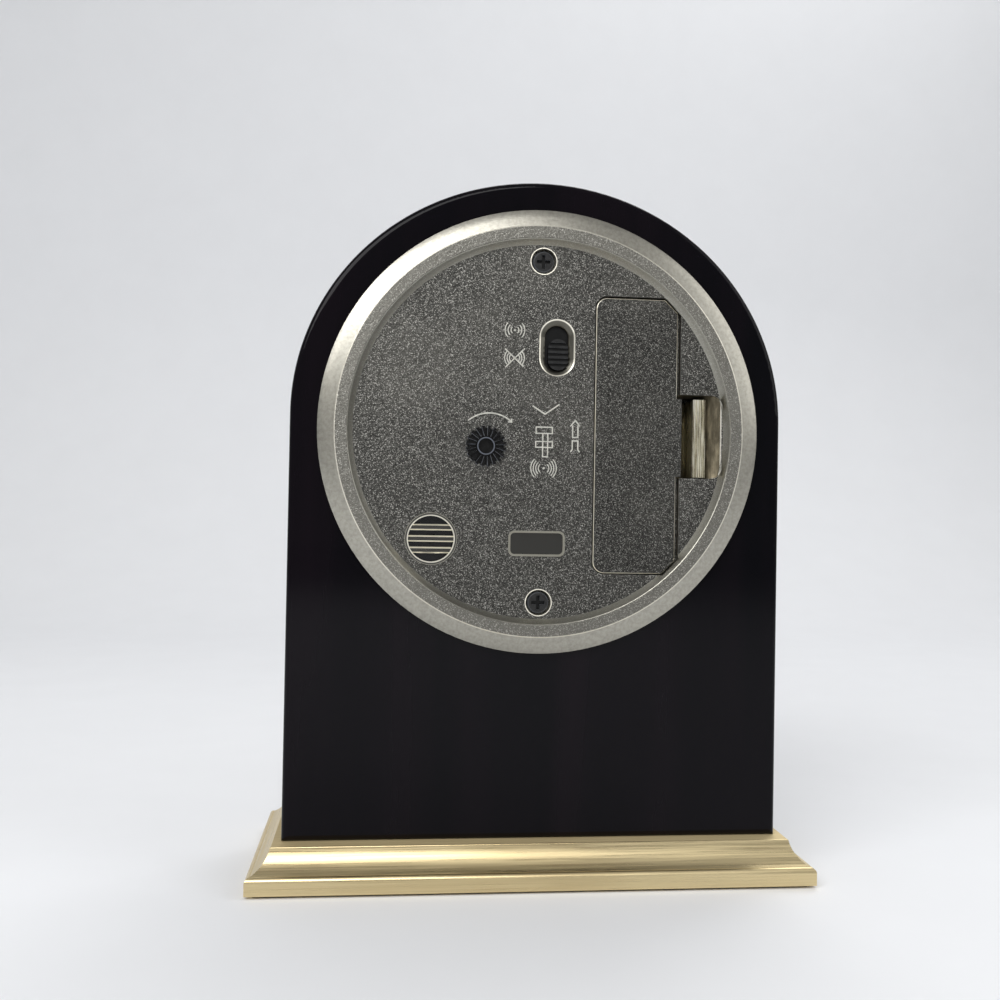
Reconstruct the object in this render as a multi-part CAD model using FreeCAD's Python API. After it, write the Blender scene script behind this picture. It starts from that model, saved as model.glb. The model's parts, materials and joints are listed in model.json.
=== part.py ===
import FreeCAD, Part
import math
import os

# Arch-topped desk alarm clock: lacquered wooden block on a moulded brass base, with a quartz alarm
# movement in a round bore. Millimetres, +Z up, dial towards -Y, rear cover towards +Y, origin on
# the table under the middle of the base.

Vector = FreeCAD.Vector

# Wooden case
case_width = 107.6
case_thickness = 35.8
case_height = 142.44
arch_rise = 51.7
case_edge_round = 1.3
case_bore_radius = 43.0
dial_centre_rise = 87.9

# Brass base, felt and the screws that hold the case down
base_length = 120.6
base_depth = 51.8
base_height = 8.6
moulding_overhang = 4.6
lip_height = 3.7
lip_round = 1.1
cove_sag = 0.66
base_arris_round = 0.3
felt_thickness = 0.6
felt_inset = 1.2
base_screw_spacing = 64.0
base_screw_radius = 2.0
base_screw_length = 20.0
base_screw_head_radius = 3.8
base_screw_head_height = 2.4
base_screw_hole_clearance = 0.2
base_screw_pilot_clearance = 0.05

# Front bezel and lens
bezel_radius = 47.0
bezel_edge_height = 0.9
bezel_crown_radius = 43.4
bezel_crown_height = 3.6
bezel_opening_radius = 38.6
bezel_opening_height = 2.1
bezel_sleeve_thickness = 1.2
bezel_crown_round = 0.4
bezel_tab_width = 8.0
bezel_tab_reach = 1.2
bezel_tab_thickness = 0.6
bezel_tab_angles_deg = (30.0, 150.0, 210.0, 330.0)
lens_seat_height = 1.1
lens_thickness = 1.6
lens_dome_rise = 1.5
lens_dome_margin = 0.3
bore_clearance = 0.4
insert_clearance = 0.2

# Dial and its spacer ring
dial_well_depth = 3.9
spacer_front_land = 2.3
spacer_rear_land = 3.2
dial_thickness = 0.5
dial_hole_clearance = 0.4

# Main plate, which carries the dial in front and the movement behind
main_plate_thickness = 1.1
main_plate_rib_inset = 1.6
main_plate_rib_width = 1.2
main_plate_rib_height = 2.2
cover_boss_offset = 37.0
cover_boss_radius = 3.2
cover_boss_gap = 0.3
pillar_radius = 2.0
pillar_places = ((-21.5, -13.0), (-17.0, 14.0), (18.6, 14.2), (17.4, -14.6))

# Wheels: shares are of the module or of the tooth pitch
wheel_thickness = 0.7
layer_gap = 0.3
addendum_share = 0.9
dedendum_share = 1.15
tooth_root_half_share = 0.33
tooth_tip_half_share = 0.11
arbor_radius = 0.4
running_clearance = 0.06
press_clearance = 0.02
pivot_reach = 0.9

# Time train, from the rotor to the minute wheel on the dial axis
train_distance = 10.8
rotor_module = 0.3
rotor_teeth = 8
fifth_teeth = 48
fifth_pinion_teeth = 8
second_teeth = 40
second_pinion_teeth = 8
third_teeth = 60
third_pinion_teeth = 8
centre_teeth = 64
third_angle_deg = 180.0
fifth_angle_deg = -100.0
rotor_angle_deg = -20.0

# Motion work, alarm wheel and the setting stem
knob_offset_x = 12.0
knob_offset_z = -3.45
knob_teeth = 12
alarm_teeth = 36
cannon_teeth = 8
minute_teeth = 32
minute_pinion_teeth = 10
hour_teeth = 30

# Concentric pipes on the dial axis
second_arbor_radius = 0.5
pipe_wall = 0.62
pipe_end = 0.05

# Hands, front to back order is second, minute, hour, alarm
hand_thickness = 0.3
first_hand_gap = 0.8
hand_gap = 0.5
hand_hub_wall = 1.3
minute_hand_length = 33.0
minute_hand_tail = 7.0
minute_hand_width = 2.2
hour_hand_length = 23.0
hour_hand_tail = 6.0
hour_hand_width = 2.9
alarm_hand_length = 17.0
alarm_hand_tail = 5.0
alarm_hand_width = 1.5
second_hand_length = 34.0
second_hand_tail = 11.0
second_hand_width = 0.8
hand_tip_share = 0.3
hand_tail_share = 0.7
shown_hour = 10
shown_minute = 9
shown_second = 35
alarm_set_hour = 6.5

# Rotor, stator and coil
magnet_radius = 3.0
magnet_length = 2.0
stator_thickness = 0.7
stator_hole_clearance = 0.4
stator_half_width = 4.8
stator_leg_width = 4.3
stator_leg_spread = 13.3
coil_drop = 8.0
coil_length = 17.2
coil_radius = 2.7
coil_flange_radius = 2.85
coil_flange_width = 0.8
core_width = 2.4
post_radius = 1.6
post_tip_radius = 0.8

# Back plate of the movement
back_plate_thickness = 1.2
back_plate_margin = 3.4
plate_corner_round = 3.2
plate_screw_radius = 0.9
plate_screw_head_radius = 1.8
plate_screw_head_height = 0.9
plate_screw_depth = 6.0

# Rear cover
cover_radius = 47.9
cover_edge_height = 1.45
rim_slope_width = 3.6
crest_width = 2.65
crest_height = 2.5
crest_round = 0.45
crest_slope_width = 1.15
floor_height = 0.75
floor_thickness = 1.6
cover_wall = 1.5
skirt_thickness = 1.4
skirt_depth = 4.9
floor_cut_overrun = 1.0

# Rear cover screws
cover_screw_radius = 1.3
cover_screw_length = 21.0
cover_screw_head_radius = 2.35
cover_screw_head_height = 1.4
cover_screw_head_round = 0.5
cover_screw_recess_radius = 2.75
cover_screw_recess_depth = 1.9
cover_screw_clearance = 0.12
cover_tube_radius = 3.4
cover_tube_length = 4.8
cross_recess_width = 0.75
cross_recess_reach = 1.5
cross_recess_depth = 0.7

# Setting stem, knob and the keyed sleeve that turns with them
stem_radius = 1.2
stem_flat = 0.85
stem_seat_depth = 5.0
sleeve_radius = 2.3
sleeve_flange_radius = 3.2
sleeve_flange_thickness = 1.0
knob_radius = 4.35
knob_length = 7.0
knob_proud = 0.95
knob_crown_height = 0.9
knob_barrel_radius = 3.9
knob_ribs = 20
knob_groove_width = 0.66
knob_groove_depth = 1.1
knob_hub_radius = 1.95
knob_dimple_radius = 1.6
knob_dimple_depth = 0.9
knob_hole_clearance = 0.15
knob_collar_thickness = 1.0
knob_collar_depth = 2.6

# Sounder and its grille
grille_offset_x = 23.43
grille_offset_z = -23.54
grille_radius = 4.9
grille_rim_width = 0.7
grille_rim_height = 0.3
grille_bar_height = 1.35
grille_bar_pitch = 2.45
grille_bars = 3
grille_bar_bevel = 0.3
sounder_radius = 7.2
sounder_length = 7.0
sounder_gap = 0.3
sounder_port_radius = 1.2
sounder_port_depth = 1.5
sounder_collar_clearance = 0.15
sounder_collar_thickness = 1.0
sounder_collar_depth = 5.0

# Alarm switch
switch_offset_x = -3.25
switch_slot_bottom = 13.35
switch_slot_width = 5.25
switch_slot_height = 9.9
switch_bevel_width = 1.3
switch_bevel_depth = 0.9
switch_cap_clearance = 0.43
switch_cap_shift = -0.25
switch_travel = 2.9
switch_end_clearance = 0.1
switch_cap_recess = 0.35
switch_ribs = 5
switch_groove_width = 0.6
switch_groove_depth = 0.4
switch_plate_width = 9.0
switch_plate_overlap = 0.6
switch_plate_thickness = 1.4
switch_plate_gap = 0.15
switch_rail_width = 1.0
switch_rail_clearance = 0.2
switch_wiper_thickness = 0.2
switch_wiper_width = 2.0
switch_wiper_length = 7.0
switch_wiper_foot = 1.6
wiper_gap = 0.05

# Circuit board and what is soldered to it
board_left = -8.8
board_right = 24.0
board_bottom = 6.5
board_top = 29.0
board_thickness = 1.0
board_corner_round = 1.5
board_gap = 2.45
board_post_radius = 2.2
board_post_places = ((20.5, 10.0), (20.5, 25.5), (6.5, 25.5))
board_screw_radius = 0.8
board_screw_head_radius = 1.7
board_screw_head_height = 0.8
board_screw_depth = 1.6
crystal_radius = 1.5
crystal_length = 8.0
crystal_offset_x = 13.5
crystal_offset_z = 13.0
chip_radius = 4.0
chip_height = 1.3
chip_shoulder_radius_share = 0.85
chip_shoulder_height_share = 0.7
chip_top_share = 0.5
chip_offset_x = 4.5
chip_offset_z = 16.0
capacitor_radius = 2.5
capacitor_length = 5.5
capacitor_offset_x = 14.0
capacitor_offset_z = 22.5

# Bare label pad moulded in the cover
pad_offset_x = 0.6
pad_offset_z = -24.27
pad_width = 11.4
pad_height = 4.6
pad_corner_radius = 0.9
pad_border = 0.45
pad_border_height = 0.22
pad_sink = 0.15

# Battery door, bay and cell
door_hinge_offset = 11.75
door_width = 18.25
door_middle_offset = -0.45
door_thickness = 1.4
door_corner_radius = 2.5
door_chamfer = 2.9
door_seam = 0.25
door_latch_seam = 0.7
door_top_seam = 0.4
door_edge_round = 0.3
ledge_gap = 0.05
ledge_width = 1.6
ledge_flange = 1.0
ledge_thickness = 0.85
bay_wall = 1.1
cell_radius = 7.25
cell_length = 50.5
cell_gap = 0.35
cell_nub_radius = 2.7
cell_nub_height = 1.3
cell_crimp_depth = 0.35
contact_thickness = 0.4
contact_bulge_radius = 2.2
contact_bulge_height = 0.6
contact_width = 9.0
contact_height = 11.0
spring_height = 5.0
spring_wire_radius = 0.4
spring_large_radius = 3.8
spring_turns = 3
spring_taper_deg = -18.0
lug_spacing = 36.0
lug_width = 5.0
lug_clearance = 0.3
lug_drop = 1.75
lug_thickness = 1.5
lug_reach = 0.85
lug_root_inset = 0.75
lug_root_width = 1.0

# Door latch: a folded tongue in a finger recess beside the door
latch_bottom = -9.2
latch_top = 7.95
latch_root = 1.4
recess_bottom_margin = 0.25
recess_top_margin = 0.95
recess_reach = 10.3
recess_edge_offset = 24.35
scoop_drop = 3.5
scoop_bulge = 0.5
recess_depth = 10.2
recess_block_wall = 1.1
recess_corner_radius = 2.5
tongue_thickness = 0.8
tongue_wall_gap = 0.8
tongue_spread = 3.9
tongue_drop = 7.45
latch_pivot_gap = 0.05
latch_pad_width = 2.8
latch_pad_height = 1.5
latch_pad_recess = 0.45
latch_ridge_width = 0.35
latch_ridge_depth = 0.3
latch_ridges = 3

# Places worked out from the sizes above
case_bottom = felt_thickness + base_height
case_top = case_bottom + case_height
case_front = -case_thickness / 2
case_rear = case_thickness / 2
dial_z = case_bottom + dial_centre_rise
insert_radius = case_bore_radius - bore_clearance - bezel_sleeve_thickness - insert_clearance
lens_front = case_front - lens_seat_height
lens_rear = lens_front + lens_thickness
dial_front = lens_rear + dial_well_depth
dial_rear = dial_front + dial_thickness
plate_rear = dial_rear + main_plate_thickness
layer_pitch = wheel_thickness + layer_gap
layers = range(7)
alarm_layer, hour_layer, minute_layer, centre_layer, third_layer, second_layer, fifth_layer = layers
hand_orders = range(4)
alarm_order, hour_order, minute_order, second_order = hand_orders
magnet_front = plate_rear + layer_gap + (fifth_layer + 1) * layer_pitch
back_plate_front = magnet_front + magnet_length + layer_gap
back_plate_rear = back_plate_front + back_plate_thickness
floor_outer = case_rear + floor_height
floor_inner = floor_outer - floor_thickness
crest_outer_radius = cover_radius - rim_slope_width
crest_inner_radius = crest_outer_radius - crest_width
floor_radius = crest_inner_radius - crest_slope_width
skirt_outer = case_bore_radius - bore_clearance
skirt_inner = skirt_outer - skirt_thickness
board_rear = floor_inner - board_gap
board_front = board_rear - board_thickness
door_inner = floor_outer - door_thickness
ledge_top = door_inner - ledge_gap
bay_length = cell_length + 2 * contact_thickness + contact_bulge_height + spring_height
door_bottom = door_middle_offset - bay_length / 2 - ledge_width
door_top = door_middle_offset + bay_length / 2 + ledge_width
cell_x = -(door_hinge_offset + door_width / 2)
cell_y = door_inner - cell_gap - cell_radius
bay_inner = cell_y - cell_radius - cell_gap
bay_outer = bay_inner - bay_wall
door_far = door_hinge_offset + door_width

# Radii of the concentric pipes, from the second arbor outwards
cannon_inner = second_arbor_radius + running_clearance
cannon_outer = cannon_inner + pipe_wall
hour_inner = cannon_outer + running_clearance
hour_outer = hour_inner + pipe_wall
alarm_inner = hour_outer + running_clearance
alarm_outer = alarm_inner + pipe_wall

# Wheel centres, as offsets in x and z from the dial axis
dial_axis = (0.0, 0.0)
knob_axis = (knob_offset_x, knob_offset_z)
setting_distance = math.hypot(knob_offset_x, knob_offset_z)
setting_module = 2 * setting_distance / (knob_teeth + alarm_teeth)
motion_distance = setting_module * (cannon_teeth + minute_teeth) / 2
hour_module = 2 * motion_distance / (minute_pinion_teeth + hour_teeth)
knob_minute_distance = setting_module * (knob_teeth + minute_teeth) / 2
third_module = 2 * train_distance / (second_pinion_teeth + third_teeth)
centre_module = 2 * train_distance / (third_pinion_teeth + centre_teeth)
second_module = 2 * train_distance / (fifth_pinion_teeth + second_teeth)
rotor_distance = rotor_module * (rotor_teeth + fifth_teeth) / 2


def polar(distance, angle, start=dial_axis):
    """Point at a distance and angle (radians, from +X towards +Z) from a start point."""
    return (start[0] + distance * math.cos(angle), start[1] + distance * math.sin(angle))


def bearing(start, end):
    """Angle of the line from one point to another, from +X towards +Z."""
    return math.atan2(end[1] - start[1], end[0] - start[0])


def triangle_corner(start, end, from_start, from_end):
    """Point at given distances from two others, on the side counter-clockwise from start to end."""
    span = math.dist(start, end)
    cosine = (from_start**2 + span**2 - from_end**2) / (2 * from_start * span)
    return polar(from_start, bearing(start, end) + math.acos(cosine), start)


minute_axis = triangle_corner(dial_axis, knob_axis, motion_distance, knob_minute_distance)
third_axis = polar(train_distance, math.radians(third_angle_deg))
fifth_axis = polar(train_distance, math.radians(fifth_angle_deg))
rotor_axis = polar(rotor_distance, math.radians(rotor_angle_deg), fifth_axis)


def layer_front(layer):
    """Front face of a wheel layer, counted from the dial."""
    return plate_rear + layer_gap + layer * layer_pitch


def meshed_phase(driver_axis, driver_teeth, driver_phase, axis, teeth):
    """Phase that sets a gap of one wheel opposite a tooth of another."""
    line = bearing(driver_axis, axis)
    past_tooth = (line - driver_phase) * driver_teeth / (2 * math.pi)
    return line + math.pi + (past_tooth + 0.5) * 2 * math.pi / teeth


# Phase of every toothed wheel, each taken from the wheel that it meshes with
alarm_phase = 0.0
knob_phase = meshed_phase(dial_axis, alarm_teeth, alarm_phase, knob_axis, knob_teeth)
minute_phase = meshed_phase(knob_axis, knob_teeth, knob_phase, minute_axis, minute_teeth)
cannon_phase = meshed_phase(minute_axis, minute_teeth, minute_phase, dial_axis, cannon_teeth)
hour_phase = meshed_phase(minute_axis, minute_pinion_teeth, minute_phase, dial_axis, hour_teeth)
second_phase = 0.0
third_phase = meshed_phase(dial_axis, second_pinion_teeth, second_phase, third_axis, third_teeth)
centre_phase = meshed_phase(third_axis, third_pinion_teeth, third_phase, dial_axis, centre_teeth)
fifth_phase = meshed_phase(dial_axis, second_teeth, second_phase, fifth_axis, fifth_pinion_teeth)
rotor_phase = meshed_phase(fifth_axis, fifth_teeth, fifth_phase, rotor_axis, rotor_teeth)


def place(offset, y):
    """Point in space for an offset from the dial axis at depth y."""
    return Vector(offset[0], y, dial_z + offset[1])


def rod(radius, y_front, y_rear, offset=dial_axis):
    """Round rod parallel to the dial axis."""
    return Part.makeCylinder(radius, y_rear - y_front, place(offset, y_front), Vector(0, 1, 0))


def tube(outer, inner, y_front, y_rear, offset=dial_axis):
    """Round tube parallel to the dial axis."""
    return rod(outer, y_front, y_rear, offset).cut(rod(inner, y_front, y_rear, offset))


def slab(x_range, y_range, z_range):
    """Box between three pairs of limits, with z counted from the dial axis."""
    x_low, x_high = sorted(x_range)
    y_low, y_high = sorted(y_range)
    z_low, z_high = sorted(z_range)
    corner = Vector(x_low, y_low, dial_z + z_low)
    return Part.makeBox(x_high - x_low, y_high - y_low, z_high - z_low, corner)


def turned(profile, offset=dial_axis):
    """Solid of revolution about the dial direction, from (radius, y) points."""
    points = [Vector(offset[0] + radius, y, dial_z + offset[1]) for radius, y in profile]
    face = Part.Face(Part.makePolygon(points + points[:1]))
    return face.revolve(place(offset, 0), Vector(0, 1, 0), 360)


def plate_from(points, y_front, y_rear):
    """Flat plate from (x, z) points given as offsets from the dial axis."""
    corners = [place(point, y_front) for point in points]
    face = Part.Face(Part.makePolygon(corners + corners[:1]))
    return face.extrude(Vector(0, y_rear - y_front, 0))


def rounded_plate(points, radius, y_front, y_rear):
    """Flat plate with rounded corners."""
    plate = plate_from(points, y_front, y_rear)
    upright = [edge for edge in plate.Edges if abs(edge.tangentAt(edge.FirstParameter).y) > 0.5]
    return plate.makeFillet(radius, upright)


def oval(width, height, offset, y):
    """Upright stadium outline, with half-round ends."""
    radius = width / 2
    x, z = offset
    reach = height / 2 - radius
    low_right = place((x + radius, z - reach), y)
    high_right = place((x + radius, z + reach), y)
    high_left = place((x - radius, z + reach), y)
    low_left = place((x - radius, z - reach), y)
    top = Part.Arc(high_right, place((x, z + height / 2), y), high_left).toShape()
    bottom = Part.Arc(low_left, place((x, z - height / 2), y), low_right).toShape()
    right = Part.LineSegment(low_right, high_right).toShape()
    left = Part.LineSegment(high_left, low_left).toShape()
    return Part.Wire([right, top, left, bottom])


def oval_block(width, height, offset, y_front, y_rear):
    """Upright stadium extruded along the dial direction."""
    return Part.Face(oval(width, height, offset, y_front)).extrude(Vector(0, y_rear - y_front, 0))


def gear(teeth, module, phase, y_front, offset):
    """Toothed disc one wheel thick, with straight-flanked teeth."""
    pitch_radius = teeth * module / 2
    tip_radius = pitch_radius + addendum_share * module
    root_radius = pitch_radius - dedendum_share * module
    pitch_angle = 2 * math.pi / teeth
    points = []
    for number in range(teeth):
        middle = phase + number * pitch_angle
        points.append(polar(root_radius, middle - tooth_root_half_share * pitch_angle, offset))
        points.append(polar(tip_radius, middle - tooth_tip_half_share * pitch_angle, offset))
        points.append(polar(tip_radius, middle + tooth_tip_half_share * pitch_angle, offset))
        points.append(polar(root_radius, middle + tooth_root_half_share * pitch_angle, offset))
    return plate_from(points, y_front, y_front + wheel_thickness)


def joined(first, *others):
    """One solid from several that touch or overlap."""
    return first.multiFuse(list(others)).removeSplitter()


def pivoted_arbor(offset):
    """Thin arbor that runs in the main plate and the back plate."""
    return rod(arbor_radius, plate_rear - pivot_reach, back_plate_front + pivot_reach, offset)


# Case and base
def case_block():
    """Arch-topped wooden block with a round bore right through it."""
    half = case_width / 2
    spring = case_top - arch_rise
    corners = [Vector(-half, case_front, spring), Vector(-half, case_front, case_bottom)]
    corners += [Vector(half, case_front, case_bottom), Vector(half, case_front, spring)]
    sides = [Part.LineSegment(*pair).toShape() for pair in zip(corners, corners[1:])]
    centre = Vector(0, case_front, spring)
    crown = Vector(0, case_front, case_top)
    if half > arch_rise:
        arch = Part.Arc(Part.Ellipse(corners[-1], crown, centre), 0, math.pi).toShape()
    else:
        arch = Part.Arc(Part.Ellipse(crown, corners[0], centre), -math.pi / 2, math.pi / 2).toShape()
    outline = Part.Wire(Part.__sortEdges__(sides + [arch]))
    block = Part.Face(outline).extrude(Vector(0, case_thickness, 0))
    rims = [edge for edge in block.Edges if edge.BoundBox.YLength < case_edge_round]
    block = block.makeFillet(case_edge_round, rims)
    block = block.cut(rod(case_bore_radius, case_front, case_rear))
    for side in (-1, 1):
        pilot_radius = base_screw_radius + base_screw_pilot_clearance
        foot = Vector(side * base_screw_spacing / 2, 0, case_bottom)
        block = block.cut(Part.makeCylinder(pilot_radius, base_screw_length, foot))
    return block


def moulding_section(length):
    """Half-outline points and arcs of the base, across a given length, as a face in X and Z."""
    half = length / 2
    edges = []
    for side in (-1, 1):
        foot = (side * half, felt_thickness)
        lip = (side * half, felt_thickness + lip_height - lip_round)
        bend_share = 1 - math.sqrt(0.5)
        lip_bend = lip_round * bend_share
        lip_mid = (side * (half - lip_bend), felt_thickness + lip_height - lip_bend)
        shelf = (side * (half - lip_round), felt_thickness + lip_height)
        neck = (side * (half - moulding_overhang), case_bottom - base_arris_round)
        run = neck[0] - shelf[0]
        climb = neck[1] - shelf[1]
        span = math.hypot(run, climb)
        sag_x = cove_sag * climb / span * -side
        sag_z = -cove_sag * abs(run) / span
        cove_mid = ((shelf[0] + neck[0]) / 2 + sag_x, (shelf[1] + neck[1]) / 2 + sag_z)
        arris = (side * (half - moulding_overhang - base_arris_round), case_bottom)
        arris_mid = (
            side * (half - moulding_overhang - base_arris_round * bend_share),
            case_bottom - base_arris_round * bend_share,
        )
        spots = [Vector(x, 0, z) for x, z in (foot, lip, lip_mid, shelf, cove_mid, neck, arris_mid, arris)]
        edges.append(Part.LineSegment(spots[0], spots[1]).toShape())
        edges.append(Part.Arc(spots[1], spots[2], spots[3]).toShape())
        edges.append(Part.Arc(spots[3], spots[4], spots[5]).toShape())
        edges.append(Part.Arc(spots[5], spots[6], spots[7]).toShape())
        if side < 0:
            first_foot, first_arris = spots[0], spots[7]
        else:
            edges.append(Part.LineSegment(first_foot, spots[0]).toShape())
            edges.append(Part.LineSegment(first_arris, spots[7]).toShape())
    return Part.Face(Part.Wire(Part.__sortEdges__(edges)))


def base_plinth():
    """Brass base with the same moulding on all four sides, mitred at the corners."""
    along = moulding_section(base_length)
    along.translate(Vector(0, -base_depth / 2, 0))
    along = along.extrude(Vector(0, base_depth, 0))
    across = moulding_section(base_depth)
    across.translate(Vector(0, -base_length / 2, 0))
    across = across.extrude(Vector(0, base_length, 0))
    across.rotate(Vector(0, 0, 0), Vector(0, 0, 1), 90)
    base = along.common(across)
    for side in (-1, 1):
        foot = Vector(side * base_screw_spacing / 2, 0, felt_thickness)
        hole_radius = base_screw_radius + base_screw_hole_clearance
        base = base.cut(Part.makeCylinder(hole_radius, base_height, foot))
        recess_radius = base_screw_head_radius + base_screw_hole_clearance
        base = base.cut(Part.makeCylinder(recess_radius, base_screw_head_height, foot))
    return base


def base_felt():
    """Felt sheet under the base."""
    length = base_length - 2 * felt_inset
    depth = base_depth - 2 * felt_inset
    felt = Part.makeBox(length, depth, felt_thickness, Vector(-length / 2, -depth / 2, 0))
    uprights = [edge for edge in felt.Edges if edge.BoundBox.ZLength > felt_thickness / 2]
    return felt.makeFillet(felt_inset, uprights)


def base_screws():
    """Two screws up through the base into the case."""
    screws = []
    for side in (-1, 1):
        foot = Vector(side * base_screw_spacing / 2, 0, felt_thickness)
        head = Part.makeCylinder(base_screw_head_radius, base_screw_head_height, foot)
        shank = Part.makeCylinder(base_screw_radius, base_screw_length, foot)
        screws.append(joined(head, shank))
    return Part.makeCompound(screws)


# Front of the clock
def bezel():
    """Turned ring on the front, with a sleeve in the bore and four tabs bent in behind the main plate."""
    sleeve_inner = skirt_outer - bezel_sleeve_thickness
    sleeve_end = plate_rear + bezel_tab_thickness
    profile = [(bezel_radius, case_front), (bezel_radius, case_front - bezel_edge_height)]
    profile += [(bezel_crown_radius, case_front - bezel_crown_height)]
    profile += [(bezel_crown_radius - bezel_sleeve_thickness, case_front - bezel_crown_height)]
    profile += [(bezel_opening_radius, case_front - bezel_opening_height)]
    profile += [(bezel_opening_radius, lens_front), (sleeve_inner, lens_front)]
    profile += [(sleeve_inner, sleeve_end), (skirt_outer, sleeve_end), (skirt_outer, case_front)]
    ring = turned(profile)
    crown = [
        edge
        for edge in ring.Edges
        if abs(edge.BoundBox.YMin - (case_front - bezel_crown_height)) < press_clearance
        and edge.BoundBox.XLength > bezel_radius
    ]
    ring = ring.makeFillet(bezel_crown_round, crown)
    grip = tube(sleeve_inner, sleeve_inner - bezel_tab_reach, plate_rear, sleeve_end)
    for angle in bezel_tab_angles_deg:
        half_width = bezel_tab_width / 2
        cutter = slab((0, bezel_radius), (plate_rear, sleeve_end), (-half_width, half_width))
        cutter.rotate(place(dial_axis, 0), Vector(0, 1, 0), angle)
        ring = joined(ring, grip.common(cutter))
    return ring


def lens():
    """Glass with a shallow dome inside a flat rim."""
    dome_radius = bezel_opening_radius - lens_dome_margin
    sphere = (dome_radius**2 + lens_dome_rise**2) / (2 * lens_dome_rise)
    sag = lens_dome_rise - (sphere - math.sqrt(sphere**2 - dome_radius**2 / 4))
    edges = []
    crowns = []
    rims = []
    for face_y in (lens_front, lens_rear):
        crown = place(dial_axis, face_y - lens_dome_rise)
        middle = place((dome_radius / 2, 0), face_y - sag)
        shoulder = place((dome_radius, 0), face_y)
        rim = place((insert_radius, 0), face_y)
        edges.append(Part.Arc(crown, middle, shoulder).toShape())
        edges.append(Part.LineSegment(shoulder, rim).toShape())
        crowns.append(crown)
        rims.append(rim)
    edges.append(Part.LineSegment(*crowns).toShape())
    edges.append(Part.LineSegment(*rims).toShape())
    face = Part.Face(Part.Wire(Part.__sortEdges__(edges)))
    return face.revolve(place(dial_axis, 0), Vector(0, 1, 0), 360)


def spacer_ring():
    """Sloped ring that holds the lens off the dial."""
    profile = [(insert_radius, lens_rear), (insert_radius - spacer_front_land, lens_rear)]
    profile += [(insert_radius - spacer_rear_land, dial_front), (insert_radius, dial_front)]
    return turned(profile)


def dial():
    """Thin round dial plate with a centre hole."""
    return tube(insert_radius, alarm_outer + dial_hole_clearance, dial_front, dial_rear)


def main_plate():
    """Round plate with pillars, stator posts and two long bosses for the cover screws."""
    plate = rod(insert_radius, dial_rear, plate_rear)
    rib_outer = insert_radius - main_plate_rib_inset
    rib = tube(rib_outer, rib_outer - main_plate_rib_width, plate_rear, plate_rear + main_plate_rib_height)
    pillars = [rod(pillar_radius, plate_rear, back_plate_front, spot) for spot in pillar_places]
    stator_front = stator_middle() - stator_thickness / 2
    posts = [rod(post_radius, plate_rear, stator_front, spot) for spot in coil_ends()]
    tips = [rod(post_tip_radius, stator_front, core_rear(), spot) for spot in coil_ends()]
    boss_end = floor_inner - cover_tube_length - cover_boss_gap
    bosses = [rod(cover_boss_radius, plate_rear, boss_end, spot) for spot in cover_screw_places()]
    plate = joined(plate, rib, *pillars, *posts, *tips, *bosses)
    holes = [rod(alarm_outer + running_clearance, dial_rear, plate_rear)]
    for spot in (third_axis, fifth_axis, rotor_axis, minute_axis):
        holes.append(rod(arbor_radius + running_clearance, dial_rear, plate_rear, spot))
    for spot in pillar_places:
        hole_front = back_plate_rear - plate_screw_depth
        holes.append(rod(plate_screw_radius + press_clearance, hole_front, back_plate_front, spot))
    for spot in cover_screw_places():
        hole_front = cover_screw_seat() - cover_screw_length
        holes.append(rod(cover_screw_radius + running_clearance, hole_front, boss_end, spot))
    return plate.cut(Part.makeCompound(holes))


# Train and motion work
def alarm_wheel():
    """Alarm wheel with the outermost pipe, which carries the alarm hand."""
    front = layer_front(alarm_layer)
    span = (hand_front(alarm_order) - pipe_end, front + wheel_thickness)
    wheel = gear(alarm_teeth, setting_module, alarm_phase, front, dial_axis)
    return joined(wheel, rod(alarm_outer, *span)).cut(rod(alarm_inner, *span))


def hour_wheel():
    """Hour wheel with its pipe inside the alarm pipe."""
    front = layer_front(hour_layer)
    span = (hand_front(hour_order) - pipe_end, front + wheel_thickness)
    wheel = gear(hour_teeth, hour_module, hour_phase, front, dial_axis)
    return joined(wheel, rod(hour_outer, *span)).cut(rod(hour_inner, *span))


def cannon_pinion():
    """Cannon pinion and pipe that carry the minute hand; the centre wheel grips its rear end."""
    front = layer_front(minute_layer)
    rear = layer_front(centre_layer) + wheel_thickness + pipe_end
    pinion = gear(cannon_teeth, setting_module, cannon_phase, front, dial_axis)
    pipe = rod(cannon_outer, hand_front(minute_order) - pipe_end, rear)
    return joined(pinion, pipe).cut(rod(cannon_inner, hand_front(minute_order) - pipe_end, rear))


def minute_wheel():
    """Intermediate wheel and pinion between the cannon pinion and the hour wheel."""
    wheel = gear(minute_teeth, setting_module, minute_phase, layer_front(minute_layer), minute_axis)
    pinion = gear(minute_pinion_teeth, hour_module, minute_phase, layer_front(hour_layer), minute_axis)
    return joined(wheel, pinion, pivoted_arbor(minute_axis))


def centre_wheel():
    """Wheel that slips on the cannon pinion's pipe when the hands are set."""
    front = layer_front(centre_layer)
    wheel = gear(centre_teeth, centre_module, centre_phase, front, dial_axis)
    return wheel.cut(rod(cannon_outer + running_clearance, front, front + wheel_thickness))


def third_wheel():
    """Third wheel and pinion."""
    wheel = gear(third_teeth, third_module, third_phase, layer_front(third_layer), third_axis)
    pinion = gear(third_pinion_teeth, centre_module, third_phase, layer_front(centre_layer), third_axis)
    return joined(wheel, pinion, pivoted_arbor(third_axis))


def second_wheel():
    """Second wheel and pinion on the long arbor that carries the second hand."""
    wheel = gear(second_teeth, second_module, second_phase, layer_front(second_layer), dial_axis)
    pinion = gear(second_pinion_teeth, third_module, second_phase, layer_front(third_layer), dial_axis)
    arbor = rod(second_arbor_radius, hand_front(second_order) - pipe_end, back_plate_front + pivot_reach)
    return joined(wheel, pinion, arbor)


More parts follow.
